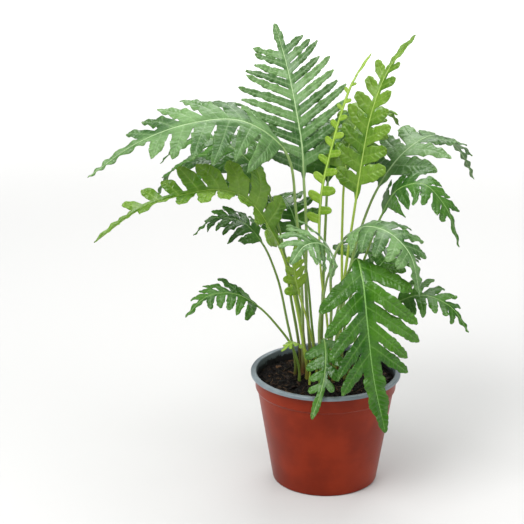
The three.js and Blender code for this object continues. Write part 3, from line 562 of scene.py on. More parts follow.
def stripColumns(lobes, roots, length):
    # Places of the strip's columns along the midrib, with the lift at each: a few up to the first lobe,
    # those of each root with a few from one to the next, and the tip lobe's. firsts: where each root begins.
    shape = bladeShape
    fade = np.linspace(0, 1, shape["baseColumns"] + 1)[:-1]
    blocks = [roots[0, 0] * fade]
    lifts = [lobes["lift"][0] * smooth(fade)]
    firsts = []
    for k, root in enumerate(roots):
        firsts.append(sum(len(b) for b in blocks))
        blocks.append(root)
        lifts.append(np.full(len(root), lobes["lift"][k]))
        if k < len(roots) - 1:
            gap = roots[k + 1, 0] - root[-1]
            fade = np.linspace(0, 1, max(1, round(gap / shape["gapStep"])) + 2)[1:-1]
            blocks.append(mix(root[-1], roots[k + 1, 0], fade))
            lifts.append(mix(lobes["lift"][k], lobes["lift"][k + 1], fade))
    tipStart = roots[-1, -1]
    inTip = max(shape["tipColumns"], round((length - tipStart) / shape["rowStep"]))
    fade = np.linspace(0, 1, inTip + 1)[1:]
    blocks.append(mix(tipStart, length - shape["endGap"], fade))
    lifts.append(lobes["lift"][-1] * (1 - smooth(fade * 2)))
    return np.concatenate(blocks), np.concatenate(lifts), firsts


def stripNet(frond, path, side, lobes, s, lift, tipStart):
    # The strip, in rows from the midrib to its outer edge. The tip lobe's margin is toothed and waved.
    shape = bladeShape
    margin = margins[frond["leaf"]]
    seed = frond["seed"]
    length = path["bladeLength"]
    rows = max(4, round(max(frond["wing"]) / shape["stripStep"]))
    share = (np.arange(rows + 1) / rows)[:, None]
    inTip = smooth((s - tipStart) / shape["tipFade"][0]) * smooth((length - s) / shape["tipFade"][1])
    edge = stripHalf(frond, s, length) + margin["tooth"] * scallops(s / margin["toothSize"], seed) * inTip
    edge = np.maximum(edge, shape["leastHalf"])
    q = mix(shape["innerEdge"], edge, share)
    s = np.broadcast_to(s, q.shape)

    # Each lobe's middle vein goes on inwards to the midrib in its own direction. away: distance from the
    # nearest such line, with a sign that changes from lobe to lobe, so that it has no jump half way between
    # two. Only the tip lobe has side veins, one at each whole number of phase.
    at, angle = (lobes[key][:, None, None] for key in ("at", "angle"))
    off = (s - at) * np.sin(angle) + (edge - q) * np.cos(angle)
    nearest = np.argmin(np.abs(off), axis=0)
    away = mix(np.take_along_axis(off, nearest[None], 0)[0] * (1 - 2 * (nearest % 2)), q, inTip)
    phase = 0.5 + inTip * (s - tipStart - shape["tipSweep"] * q) / shape["veinStep"]
    field = quilt(phase) * np.sin(np.pi * np.clip(q / edge, 0, 1)) * inTip
    risen = 1 - np.exp(-(away / shape["domeRise"]) ** 2)
    field = field + shape["dome"] * np.sin(np.pi * share) * risen * (1 - inTip)
    waves = s / margin["waveSize"] + shape["wander"] * np.sin(s / shape["wanderSize"] + seed)
    rise = shape["tipWaves"] * margin["wave"] * share ** 2 * np.sin(2 * np.pi * waves + seed) * inTip
    return dict(
        places=bladePoint(frond, path, side, s, q, rise, lift * share),
        blister=margin["blister"] * field * smooth((edge - 1) / 4),
        keel=0 * q,
        map=np.stack([phase, away], -1),
        reach=shape["stripReach"] * share + 0 * q,
        edge=share ** 2 * inTip,
        tone=mix(0.5, chance(seed + 21, nearest * 3 + side), share * (1 - inTip)),
    )


def lobeNets(frond, path, side, lobes, e, roots, rows):
    # Axis 0 is the lobe, axis 1 the row and axis 2 the column, e from -1 to 1. Rows bend with the side
    # veins, so a point's share of the lobe's length, tHere, is larger at the edge. w: distance from the
    # lobe's line, out to an edge that swells, narrows and is toothed. rise: out of the blade's plane, by
    # the cup, the sway of the line, the margin's waves and a twist. Between the root and the row at begin
    # the places go in straight lines.
    shape = bladeShape
    margin = margins[frond["leaf"]]
    seed = frond["seed"]
    length = path["bladeLength"]
    lobes = {key: values[:, None, None] for key, values in lobes.items()}
    size, index, lift = lobes["size"], lobes["index"], lobes["lift"]
    outer = np.abs(e)
    t = (1 - (1 - np.arange(1, rows) / rows) ** shape["rowCrowding"])[:, None] + 0 * size
    begin = firstRowAt(size)
    sweep = shape["veinSweep"] * smooth((t - 0.3 * begin) / begin) * (1 - t) ** 0.5
    tHere = np.minimum(t + sweep * outer * lobeHalf(frond, lobes, t) / size, shape["lastRow"])
    tCurve = np.maximum(tHere, begin)
    half = lobeHalf(frond, lobes, tCurve)
    x = tHere * size
    shift = lift * 9 + np.sign(e) * 1.7 + index * 2.3  # so that no two edges are alike
    swelling = shape["swelling"] * smooth(size / 20)
    swelling = swelling * np.sin(2 * np.pi * (tCurve - shape["swellingFrom"]) / shape["swellingSize"])
    teeth = margin["tooth"] / np.maximum(half, shape["slender"])
    teeth = teeth * scallops(x / margin["toothSize"] + shift, seed)
    fadeIn = smooth((tHere - 0.5 * begin) / (0.8 * begin))
    w = half * e * (1 + (swelling + teeth) * outer ** 3 * fadeIn)
    s, q = lobeLine(frond, lobes, length, tCurve)
    here = lobes["angle"] - frond["curl"] * tCurve
    cup = cupping * np.abs(w) * (chance(seed + 9, index) - cupMean)
    line = sway * size * tCurve * np.sin(swayTurn * tCurve + 2 * np.pi * lift)
    waves = np.sin(2 * np.pi * x / margin["waveSize"] + shift * 1.3 + 2 * np.sign(e))
    waves = margin["wave"] * outer ** 2.2 * fadeIn * (1 - 0.5 * tHere) * waves
    twist = w * shape["twist"] * (2 * chance(seed + 11, index) - 1) * tHere
    share = np.minimum(tHere / begin, 1)
    rootS = roots[:, None, :]
    s = mix(rootS, s + w * np.sin(here), share)
    q = mix(stripHalf(frond, rootS, length), q - w * np.cos(here), share)
    rise = (cup + line + waves + twist) * share
    phase = 0.5 + t * veinsOf(size) + 0 * w
    field = quilt(phase) * np.sin(np.pi * outer ** 0.8) ** 0.6
    middle = np.exp(-(w / shape["veinHalf"]) ** 2) * (1 - t) ** 0.4 * fadeIn
    return dict(
        places=bladePoint(frond, path, side, s, q, rise, lift + 0 * w),
        blister=margin["blister"] * field * fadeIn - shape["groove"] * middle,
        keel=shape["keel"] * middle,
        map=np.stack([phase, w * (1 - 2 * (index % 2))], -1),
        reach=mix(shape["stripReach"], 1, tHere) + 0 * w,
        edge=outer ** 2 * fadeIn,
        tone=chance(seed + 21, index * 3 + side) + 0 * w,
    )


def lobeTips(frond, path, side, lobes):  # the point that ends each lobe
    s, q = lobeLine(frond, lobes, path["bladeLength"], 1)
    rise = sway * lobes["size"] * np.sin(swayTurn + 2 * np.pi * lobes["lift"])
    none = 0 * s
    return dict(
        places=bladePoint(frond, path, side, s, q, rise, lobes["lift"]),
        blister=none,
        keel=none,
        map=np.stack([0.5 + veinsOf(lobes["size"]), none], -1),
        reach=none + 1,
        edge=none + 1,
        tone=chance(frond["seed"] + 21, lobes["index"] * 3 + side),
    )


def halfBlade(frond, path, side):
    # One half of the blade as points, faces and values at the points. Rows of points run along the midrib,
    # and from the strip's outer row a net goes out along each lobe and ends in its tip.
    shape = bladeShape
    length = path["bladeLength"]
    lobes = lobesOf(frond, length, side)
    columns = 2 * max(3, round(np.median(lobes["width"]) / shape["columnStep"])) + 1
    rows = max(8, round(np.max(lobes["size"]) / shape["rowStep"]))
    e = np.linspace(-1, 1, columns)
    roots = lobes["at"][:, None] + e * lobes["rootHalf"][:, None]
    s, lift, firsts = stripColumns(lobes, roots, length)
    strip = stripNet(frond, path, side, lobes, s, lift, roots[-1, -1])
    net = lobeNets(frond, path, side, lobes, e, roots, rows)
    tips = lobeTips(frond, path, side, lobes)
    sizes = {"places": (3,), "map": (2,)}  # numbers that each point has of these, and one of the others
    values = {key: np.concatenate([p[key].reshape(-1, *sizes.get(key, ())) for p in (strip, net, tips)])
              for key in strip}

    stripRows = len(strip["keel"])
    quads = [gridFaces(stripRows, len(s))]
    triangles = []
    outer = (stripRows - 1) * len(s)
    netStart = stripRows * len(s)
    perLobe = (rows - 1) * columns
    for k in range(frond["pairs"]):
        root = outer + firsts[k] + np.arange(columns)
        first = netStart + k * perLobe
        row = first + np.arange(columns)
        quads.append(np.stack([root[:-1], root[1:], row[1:], row[:-1]], -1))
        quads.append(gridFaces(rows - 1, columns, first))
        last = first + (rows - 2) * columns + np.arange(columns)
        triangles.append(fanFaces(last, netStart + frond["pairs"] * perLobe + k))
    return values, np.concatenate(quads), np.concatenate(triangles)


def pointNormals(points, quads, triangles):  # mean of the faces round each point, weighted by area
    parts = [triangles, quads[:, [0, 1, 2]], quads[:, [0, 2, 3]]]
    corners = np.concatenate(parts)
    a, b, c = (points[corners[:, k]] for k in range(3))
    normal = np.cross(b - a, c - a)
    total = np.zeros_like(points)
    for k in range(3):
        for axis in range(3):
            total[:, axis] += np.bincount(corners[:, k], normal[:, axis], len(points))
    return unit(total + 1e-12)


def thickened(values, quads, triangles, up):
    # Both faces of a leaf from its middle surface, and the margin between them. The leaf is thinner at its
    # margin, and its veins are sunk on the upper side and stand out on the underside.
    shape = bladeShape
    points = values["places"]
    normal = pointNormals(points, quads, triangles)
    if np.sum(normal @ up) < 0:
        quads = quads[:, ::-1]
        triangles = triangles[:, ::-1]
        normal = -normal
    thick = mix(shape["thickness"], shape["marginThickness"], values["edge"]) / 2
    upper = points + normal * (values["blister"] + thick)[:, None]
    lower = points + normal * (np.maximum(values["blister"], 0) - values["keel"] - thick)[:, None]
    under = len(points)
    edges = np.concatenate([quads[:, [k, (k + 1) % 4]] for k in range(4)]
                           + [triangles[:, [k, (k + 1) % 3]] for k in range(3)])
    forward = edges[:, 0].astype(np.int64) * under + edges[:, 1]
    backward = edges[:, 1].astype(np.int64) * under + edges[:, 0]
    border = edges[~np.isin(forward, backward)]
    rim = np.stack([border[:, 1], border[:, 0], border[:, 0] + under, border[:, 1] + under], -1)
    both = {key: np.concatenate([v, v]) for key, v in values.items() if key in
            ("map", "reach", "edge", "tone")}
    both["under"] = np.concatenate([np.zeros(under), np.ones(under)])
    both["places"] = np.concatenate([upper, lower])
    return both, [quads, quads[:, ::-1] + under], rim, [triangles, triangles[:, ::-1] + under]


# The stalk goes on as the midrib. groove: depth of the channel on its upper side, and sink: how far the
# midrib lies in the blade, as shares of the radius. fall: below 1, it thins soon after the blade's base.
ribShape = dict(sides=12, step=1.6, groove=0.22, grooveHalf=0.5, tipRadius=0.34, fall=0.55, sink=0.1,
                endGap=0.6, footSwelling=0.35, footSize=5)


def ribSurface(frond, path):
    # A tube along the frond's curve: a ring of points at each station, sunk in on its upper side by a bell
    # curve, with a radius that falls from the soil to the tip, closed by a point at both ends.
    shape = ribShape
    sides = shape["sides"]
    start = path["start"]
    whole = path["length"][-1]
    stations = round(whole / shape["step"])
    place = np.linspace(0, whole - shape["endGap"], stations)
    centre, side, normal = frameAt(frond, path, place - start)
    thick = frond["thick"]
    onStalk = thick * mix(1, stalkTaper, np.clip(place / start, 0, 1))
    share = np.clip((place - start) / (whole - start), 0, 1)
    onBlade = mix(thick * stalkTaper, shape["tipRadius"], share ** shape["fall"])
    radius = np.where(place < start, onStalk, onBlade)
    centre = centre - normal * (shape["sink"] * radius * smooth(share * 12))[:, None]
    radius = radius * (1 + shape["footSwelling"] * np.exp(-((place - holeDepth) / shape["footSize"]) ** 2))
    angle = evenTurns(sides)
    upward = np.exp(-((angle - math.pi / 2) / shape["grooveHalf"]) ** 2)
    ring = radius[:, None] * (1 - shape["groove"] * upward)
    places = (centre[:, None] + side[:, None] * (ring * np.cos(angle))[..., None]
              + normal[:, None] * (ring * np.sin(angle))[..., None])
    points = np.concatenate([places.reshape(-1, 3), centre[:1], centre[-1:]])
    quads = gridFaces(stations, sides, loop=True)
    triangles = capFaces(sides, stations, len(points) - 2, len(points) - 1)
    share = np.where(place < start, place / start, 1 + (place - start) / (whole - start))
    share = np.concatenate([np.repeat(share, sides), share[[0, -1]]])
    turns = np.concatenate([np.tile(angle, stations), [0, 0]])
    reach = np.concatenate([np.repeat(place, sides), place[[0, -1]]])
    values = dict(places=points, map=np.stack([reach, turns], -1), reach=share, edge=0 * share,
                  tone=0.5 + 0 * share, under=0 * share)
    return values, quads, triangles


def frondMesh(frond, materials):
    # Both halves of the blade, each thickened, and the stalk with the midrib, as one mesh. The thin rim
    # between the two faces of a leaf keeps its sharp edges.
    path = pathOf(frond)
    up = frameAt(frond, path, np.array([path["bladeLength"] / 2]))[2][0]
    parts = [(*thickened(*halfBlade(frond, path, side), up), 0) for side in (1, -1)]
    values, net, ends = ribSurface(frond, path)
    parts.append((values, [net], net[:0], [ends], 1))
    quads, quadSlots, rims, triangles, triangleSlots = ([] for _ in range(5))
    count = 0
    for values, nets, rim, ends, slot in parts:
        for faces in (*nets, rim):
            quads.append(faces + count)
            quadSlots.append(np.full(len(faces), slot))
            rims.append(np.full(len(faces), faces is rim))
        for faces in ends:
            triangles.append(faces + count)
            triangleSlots.append(np.full(len(faces), slot))
        count += len(values["places"])
    values = {key: np.concatenate([part[0][key] for part in parts]) for key in values}
    triangles = np.concatenate(triangles)
    flat = np.concatenate(rims + [np.zeros(len(triangles), bool)])
    mesh = makeMesh(frond["name"] + "_leaf", values["places"], np.concatenate(quads), triangles, materials,
                    np.concatenate(quadSlots), np.concatenate(triangleSlots), flat)
    addMap(mesh, "veins", values["map"])
    for key in ("reach", "edge", "tone", "under"):
        addValues(mesh, key, values[key])
    return mesh


# A fern leaf: a thin waxy skin over green tissue. Light from behind comes through it, and the underside is
# paler and duller. deep, light: the green between and near the veins. vein, under, through: colours of the
# veins, of the underside and of the light that comes through. gloss: roughness of the upper side.
leaves = {
    "silvery": dict(deep="#2f5c20", light="#739c5b", vein="#94b27e", under="#7f9f70", through="#6f9a34",
                    gloss=0.3, sheen=0.12, clear=0.2),
    "glossy": dict(deep="#23560d", light="#477b19", vein="#6f9c48", under="#5f8a48", through="#5c8f1c",
                   gloss=0.24, sheen=0.0, clear=0.2),
    "fresh": dict(deep="#497818", light="#7da536", vein="#9ab954", under="#88a85c", through="#8fb52c",
                  gloss=0.3, sheen=0.02, clear=0.28),
    "mature": dict(deep="#27580e", light="#487d1e", vein="#688f46", under="#668c54", through="#5c8f22",
                   gloss=0.3, sheen=0.04, clear=0.22),
    "young": dict(deep="#76a428", light="#9cc03e", vein="#b4cf64", under="#9cba60", through="#a3c534",
                  gloss=0.28, sheen=0.0, clear=0.32),
}
leafPattern = dict(
    patchSize=22,  # of the patches of deeper and lighter green
    speckleSize=1.6,
    netSize=2.3,  # meshes of the net of small veins
    bendSize=6,  # of the noise that bends the side veins
    bend=0.34,  # how far, as a share of their spacing
    lobeTone=0.45,  # how much the lobes differ, beside the patches
    byVein=0.22,  # how much paler the leaf is by the middle vein
    sideVein=0.26,  # how pale the veins are
    middleVein=0.4,
    edge=0.16,  # how much paler the margin is, by painted through-light
    tip=0.22,  # and the lobes' tips
    relief=0.3,  # in mm, bulges of the net on the upper side
    dull=0.22,  # roughness that the underside has more
)


def leafFinish(name, look):
    material, tree, place = newMaterial(name)
    pattern = leafPattern
    veinMap = add(tree, "SeparateXYZ", {0: add(tree, "UVMap", uv_map="veins")})
    reach, edge, tone, under = (add(tree, "Attribute", attribute_name=key).outputs["Fac"]
                                for key in ("reach", "edge", "tone", "under"))

    # Side veins lie at whole numbers of the map's first value, bent a little by noise, and the middle vein
    # where its second value is 0 mm.
    bent = add(tree, "TexNoise", {"Vector": place, "Scale": perMetre(pattern["bendSize"]), "Detail": 2})
    bent = add(tree, "Math", {0: bent, 1: pattern["bend"], 2: veinMap}, operation="MULTIPLY_ADD")
    toVein = add(tree, "Math", {0: bent, 1: 0.5}, operation="PINGPONG")
    sideVein = add(tree, "MapRange", {0: toVein, 1: 0.02, 2: 0.15, 3: 1, 4: 0}, **eased)
    sideShare = add(tree, "Math", {0: sideVein, 1: pattern["sideVein"]}, operation="MULTIPLY")
    across = add(tree, "Math", {0: veinMap.outputs[1]}, operation="ABSOLUTE")

    # Greens: patches of some centimetres, a tone of its own for each lobe, and paler tissue by the veins.
    # The margin and the tips are paled by painted through-light.
    patches = add(tree, "TexNoise", {"Vector": place, "Scale": perMetre(pattern["patchSize"]),
                                     "Detail": 3, "Roughness": 0.6})
    speckle = add(tree, "TexNoise", {"Vector": place, "Scale": perMetre(pattern["speckleSize"]),
                                     "Detail": 2})
    mixed = add(tree, "Math", {0: tone, 1: pattern["lobeTone"], 2: patches}, operation="MULTIPLY_ADD")
    green = paint(tree, colour(look["deep"]), (mixed, 0.44, 1, 1, look["light"]),
                  (across, 3.2, 0.4, pattern["byVein"], look["light"]))
    green = add(tree, "Mix", {0: sideShare, 6: green, 7: colour(look["vein"])}, **inColour)
    green = paint(tree, green, (across, 0.75, 0.22, pattern["middleVein"], look["vein"]))
    green = tint(tree, green, speckle, 0.35, 0.7, 0.86, 1.06)
    # Painted through-light: the margin and the lobes' tips take some of the colour of the light that comes
    # through.
    paintedMarginLight = add(tree, "Math", {0: edge, 1: pattern["edge"]}, operation="MULTIPLY")
    green = add(tree, "Mix", {0: paintedMarginLight, 6: green, 7: colour(look["through"])}, **inColour)
    green = paint(tree, green, (reach, 0.86, 1, pattern["tip"], look["through"]))
    below = add(tree, "Mix", {0: sideShare, 6: colour(look["under"]), 7: colour(look["light"])}, **inColour)
    skin = add(tree, "Mix", {0: under, 6: green, 7: below}, **inColour)

    # Fine relief: the leaf bulges a little in the meshes of its net of small veins, which are some two
    # millimetres across, and is sunk along the side veins.
    net = add(tree, "TexVoronoi", {"Vector": place, "Scale": perMetre(pattern["netSize"])})
    relief = add(tree, "Math", {0: net, 1: 2}, operation="POWER")
    for part, height in ((sideVein, 0.5), (speckle, 0.35)):
        relief = add(tree, "Math", {0: part, 1: height, 2: relief}, operation="MULTIPLY_ADD")
    bump = add(tree, "Bump", {"Strength": 0.6, "Distance": -pattern["relief"] * mm, "Height": relief})
    rough = add(tree, "MapRange", {0: patches, 1: 0.3, 2: 0.7, 3: look["gloss"] - 0.05,
                                   4: look["gloss"] + 0.1}, **eased)
    rough = add(tree, "Math", {0: under, 1: pattern["dull"], 2: rough}, operation="MULTIPLY_ADD")
    surface = add(tree, "BsdfPrincipled", {
        "Base Color": skin, "Roughness": rough, "Normal": bump, "IOR": 1.46,
        "Sheen Weight": look["sheen"], "Sheen Roughness": 0.4, "Sheen Tint": colour("#e8f2e4")})
    glow = add(tree, "Mix", {0: sideShare, 6: colour(look["through"]), 7: colour(look["deep"])}, **inColour)
    through = add(tree, "BsdfTranslucent", {"Color": glow, "Normal": bump})
    both = add(tree, "MixShader", {0: look["clear"], 1: surface, 2: through})
    add(tree, "OutputMaterial", {0: both})
    return material


# The stalk and the midrib: a smooth waxy skin, red-brown at the soil, then yellow-green, then pale.
ribs = {
    "silvery": dict(foot="#6a3d22", stalk="#86a256", rib="#a2bf88"),
    "glossy": dict(foot="#63371f", stalk="#6f9436", rib="#76a452"),
    "fresh": dict(foot="#74482a", stalk="#97b23e", rib="#a6c25c"),
    "mature": dict(foot="#59331d", stalk="#6d8c36", rib="#7ba052"),
    "young": dict(foot="#7c5a2c", stalk="#9ab242", rib="#afca5e"),
}


def ribFinish(name, look):
    # The colours change with reach, which is 0 at the foot, 1 at the blade's base and 2 at the tip.
    material, tree, place = newMaterial(name)
    reach = add(tree, "Attribute", attribute_name="reach").outputs["Fac"]
    streakMap = add(tree, "Mapping", {"Vector": add(tree, "UVMap", uv_map="veins"),
                                      "Scale": (0.12, 2.2, 1)})
    streaks = add(tree, "TexNoise", {"Vector": streakMap, "Scale": 1.4, "Detail": 3})
    wander = add(tree, "TexNoise", {"Vector": place, "Scale": perMetre(14), "Detail": 2})
    height = add(tree, "Math", {0: wander, 1: 0.3, 2: reach}, operation="MULTIPLY_ADD")
    skin = paint(tree, colour(look["foot"]), (height, 0.16, 0.48, 1, look["stalk"]),
                 (reach, 0.85, 1.25, 1, look["rib"]))
    skin = tint(tree, skin, streaks, 0.3, 0.7, 0.8, 1.12)
    bump = add(tree, "Bump", {"Strength": 0.4, "Distance": 0.15 * mm, "Height": streaks})
    rough = add(tree, "MapRange", {0: wander, 1: 0.3, 2: 0.7, 3: 0.32, 4: 0.46}, **eased)
    return finished(material, tree, {"Base Color": skin, "Roughness": rough, "Normal": bump, "IOR": 1.46})


leafMaterials = {
    kind: [leafFinish("waxyLeaf_" + kind, leaves[kind]), ribFinish("waxyStalk_" + kind, ribs[kind])]
    for kind in leaves}
for frond in fronds:
    mesh = frondMesh(frond, leafMaterials[frond["leaf"]])
    placePiece(frond["name"] + "_leaf", mesh, "leaf", frond["name"])
print("fronds:", len(fronds))


pot = dict(
    height=92,
    rimRadius=60,
    rimInner=55.6,
    flangeDrop=2.6,
    flangeRound=1.3,
    underRound=0.5,
    collarHeight=14,
    collarTaper=0.6,
    collarStep=1.6,
    collarRound=0.9,
    footRadius=42,
    footRound=1.6,
    wall=1.2,
    drainInner=27,
    drainOuter=37,
    drainRise=3,
    drainSlope=1.6,
    drainRound=0.8,
    drainHoles=8,
    drainRadius=2.6,
    innerShift=0.6,  # of the drain ring's inner corners, so that its wall keeps its thickness
    stepShift=0.5,  # and of the inner corners under the collar
    stepRound=0.8,
    sides=144,
)
collarFoot = pot["height"] - pot["collarHeight"]
collarInner = pot["rimInner"] - pot["collarTaper"]
bodyTop = collarInner + pot["wall"] - pot["collarStep"]  # the wall's outer radius under the collar
almostNone = 0.01  # points this close are welded: on the pot's axis, and where its two colours meet


def rounded(profile, steps=5):
    # Each corner is (radius, height, rounding). A rounded corner becomes a short curve, a parabola that
    # leaves one edge and meets the next at the rounding's distance from the corner.
    points = []
    for k, (r, z, rounding) in enumerate(profile):
        corner = np.array([r, z], float)
        if not rounding:
            points.append(corner)
            continue
        before = np.array(profile[k - 1][:2], float) - corner
        after = np.array(profile[k + 1][:2], float) - corner
        a = corner + before * min(rounding / np.linalg.norm(before), 0.49)
        b = corner + after * min(rounding / np.linalg.norm(after), 0.49)
        t = np.linspace(0, 1, steps)[:, None]
        points += list((1 - t) ** 2 * a + 2 * t * (1 - t) * corner + t ** 2 * b)
    return np.array(points)


def turned(profile, sides):  # points of a profile turned about the pot's axis, row by row
    angle = evenTurns(sides)
    r, z = profile[:, :1], profile[:, 1:]
    return np.stack([r * np.cos(angle), r * np.sin(angle), z + 0 * angle], -1).reshape(-1, 3)


def drainFloor(inner, outer, z, sides, holes, radius):
    # A flat ring with round holes. Each hole's sector is a net from the hole's edge to the sector's border.
    perSector = sides // holes
    sideSteps = 4
    netRows = 4
    half = math.pi / holes
    arc = np.linspace(-half, half, perSector + 1)
    out = np.linspace(inner, outer, sideSteps + 1)
    border = np.concatenate([
        np.stack([np.full(perSector, inner), arc[:-1]], -1),
        np.stack([out[:-1], np.full(sideSteps, half)], -1),
        np.stack([np.full(perSector, outer), arc[:0:-1]], -1),
        np.stack([out[:0:-1], np.full(sideSteps, -half)], -1)])
    edge = np.stack([border[:, 0] * np.cos(border[:, 1]), border[:, 0] * np.sin(border[:, 1])], -1)
    middle = np.array([(pot["drainInner"] + pot["drainOuter"]) / 2, 0])
    ring = middle + radius * unit(edge - middle)
    flat = mix(ring, edge, np.linspace(0, 1, netRows)[:, None, None])
    turns = (evenTurns(holes) + half)[:, None, None]
    x = flat[..., 0] * np.cos(turns) - flat[..., 1] * np.sin(turns)
    y = flat[..., 0] * np.sin(turns) + flat[..., 1] * np.cos(turns)
    points = np.stack([x, y, z + 0 * x], -1).reshape(-1, 3)
    around = len(border)
    starts = np.arange(holes) * netRows * around
    faces = np.concatenate([gridFaces(netRows, around, start, True) for start in starts])
    return points, faces, starts[:, None] + np.arange(around)


def potMesh(materials):
    # Four turned profiles, two flat rings with the drain holes, and the holes' walls. They are put together
    # at their borders, where their points meet.
    p = pot
    under = p["height"] - p["flangeDrop"]
    wall = p["wall"]
    rise = p["drainRise"]
    slope = p["drainSlope"]
    foot = p["footRadius"]
    innerTop = rise + wall
    inStart = p["drainInner"] + slope
    inEnd = p["drainOuter"] - slope
    shift = p["innerShift"]
    centre = rounded([(almostNone, 0, 0), (p["drainInner"], 0, p["drainRound"]), (inStart, rise, 0)])
    outside = rounded([
        (inEnd, rise, 0), (p["drainOuter"], 0, p["drainRound"]), (foot, 0, p["footRound"]),
        (bodyTop, collarFoot - p["collarStep"], p["collarRound"]),
        (collarInner + wall, collarFoot, p["collarRound"]),
        (p["rimInner"] + wall, under, p["underRound"]), (p["rimRadius"], under, 0)])
    inside = rounded([
        (p["rimRadius"], under + almostNone, 0), (p["rimRadius"], p["height"], p["flangeRound"]),
        (p["rimInner"], p["height"], p["flangeRound"]),
        (collarInner, collarFoot + p["stepShift"], p["stepRound"]),
        (bodyTop - wall, collarFoot - p["collarStep"] - p["stepShift"], p["stepRound"]),
        (foot - wall, wall, p["footRound"]), (p["drainOuter"] + shift, wall, shift),
        (inEnd + shift, innerTop, 0)])
    floor = rounded([(inStart - shift, innerTop, 0), (p["drainInner"] - shift, wall, shift),
                     (almostNone, wall, 0)])
    points = []
    quads = []
    slots = []
    count = 0
    for profile, slot in ((centre, 0), (outside, 0), (inside, 1), (floor, 1)):
        points.append(turned(profile, p["sides"]))
        quads.append(gridFaces(len(profile), p["sides"], count, True))
        slots.append(np.full(len(quads[-1]), slot))
        count += len(points[-1])
    rims = []
    for inner, outer, z, slot in ((inStart, inEnd, rise, 0), (inStart - shift, inEnd + shift, innerTop, 1)):
        flat, faces, rim = drainFloor(inner, outer, z, p["sides"], p["drainHoles"], p["drainRadius"])
        points.append(flat)
        quads.append(faces + count)
        slots.append(np.full(len(faces), slot))
        rims.append(rim + count)
        count += len(flat)
    low, high = rims
    walls = np.stack([low, np.roll(low, -1, 1), np.roll(high, -1, 1), high], -1).reshape(-1, 4)
    quads.append(walls)
    slots.append(np.zeros(len(walls)))
    mesh = makeMesh("nursery_pot", np.concatenate(points), np.concatenate(quads), [], materials,
                    np.concatenate(slots))
    work = bmesh.new()
    work.from_mesh(mesh)
    bmesh.ops.remove_doubles(work, verts=work.verts, dist=3 * almostNone * mm)
    bmesh.ops.recalc_face_normals(work, faces=work.faces)
    work.to_mesh(mesh)
    work.free()
    mesh.set_sharp_from_angle(angle=math.radians(50))
    return mesh


# Thermoformed polypropylene: a satin sheet, terracotta outside and grey inside. Forming leaves it slightly
# uneven, and handling leaves fine scuffs. Near the soil the grey inside is painted dark: peat dust, with
# painted shade under the flange.
plastics = {
    "terracotta": dict(tone="#8d2c0f", worn="#9c4423", dark="#78220a", gloss=0.36, shine=0.15),
    "grey": dict(tone="#828e94", worn="#a3adb1", dark="#69757b", gloss=0.36, shine=0.4),
}
peatDustAndShade = dict(tone="#17110c", full=83.5, end=91)  # painted shade and peat dust: thick up to the first height, fading by the second


def potFinish(name, look, dustyAndShaded):
    material, tree, place = newMaterial(name)
    cloud = add(tree, "TexNoise", {"Vector": place, "Scale": perMetre(30), "Detail": 4})
    grain = add(tree, "TexNoise", {"Vector": place, "Scale": perMetre(1.1), "Detail": 2})
    scuffPlace = add(tree, "Mapping", {"Vector": place, "Scale": (1, 1, 6)})
    scuffs = add(tree, "TexNoise", {"Vector": scuffPlace, "Scale": perMetre(9), "Detail": 8,
                                    "Roughness": 0.75})
    skin = paint(tree, colour(look["dark"]), (cloud, 0.35, 0.7, 1, look["tone"]))
    worn = add(tree, "MapRange", {0: scuffs, 1: 0.56, 2: 0.78, 4: 0.4}, **eased)
    skin = add(tree, "Mix", {0: worn, 6: skin, 7: colour(look["worn"])}, **inColour)
    # Painted shade with peat dust: a near-black tone over the grey inside wall, from the soil up towards the
    # flange.
    if dustyAndShaded:
        height = add(tree, "SeparateXYZ", {0: place}).outputs[2]
        dustAndShade = add(tree, "TexNoise", {"Vector": place, "Scale": perMetre(4), "Detail": 6,
                                      "Roughness": 0.7})
        nearSoil = add(tree, "MapRange", {0: height, 1: peatDustAndShade["full"] * mm, 2: peatDustAndShade["end"] * mm,
                                          3: 1, 4: 0.3}, **eased)
        dustAndShade = add(tree, "Math", {0: dustAndShade, 1: nearSoil}, operation="MULTIPLY")
        skin = paint(tree, skin, (dustAndShade, 0.24, 0.4, 0.92, peatDustAndShade["tone"]))
    relief = add(tree, "Math", {0: grain, 1: 0.4, 2: scuffs}, operation="MULTIPLY_ADD")
    bump = add(tree, "Bump", {"Strength": 0.25, "Distance": 0.25 * mm, "Height": relief})
    rough = add(tree, "Math", {0: worn, 1: 0.35, 2: look["gloss"]}, operation="MULTIPLY_ADD")
    return finished(material, tree, {"Base Color": skin, "Roughness": rough, "Normal": bump,
                                     "IOR": 1.49, "Specular IOR Level": look["shine"]})


potMaterials = [potFinish("formedPolypropylene_terracotta", plastics["terracotta"], False),
                potFinish("formedPolypropylene_grey", plastics["grey"], True)]
placePiece("nursery_pot", potMesh(potMaterials), "pot", "pot")
print("pot made")


soil = dict(
    gap=0.45,  # between the peat and the pot's wall
    floorGap=0.3,
    widest=2.9,  # height above the shoulder where the peat is as wide as the collar
    crown=(-5, 4),
    crownRise=3.5,
    crownReach=22,
    settled=1,  # how far the surface lies below soilTop beside the mound
    lumps=1.1,
    lumpRings=4,
    lumpSides=26,
    crumbLayers=((0.55, 4.2), (0.4, 2.1), (0.28, 1.05)),  # height and size of each layer of crumbs
    rings=110,
    sides=300,
)
looseBits = {
    "peat_crumbs": dict(count=1500, size=(0.35, 1.5), flatness=0.8, seed=11),
    "bark_chips": dict(count=110, size=(1.2, 3.4), flatness=0.35, seed=12),
}
fibres = dict(count=260, size=(4, 13), thick=0.13, curve=1.1, arch=1.3, clear=7, seed=31)


def insideAt(z):  # the pot's inner radius at a height: two cones, the collar's and the body's
    if z > collarFoot:
        return mix(collarInner, pot["rimInner"], (z - collarFoot) / pot["collarHeight"])
    return mix(pot["footRadius"], bodyTop, z / collarFoot) - pot["wall"]


soilEdge = insideAt(soilTop) - soil["gap"]


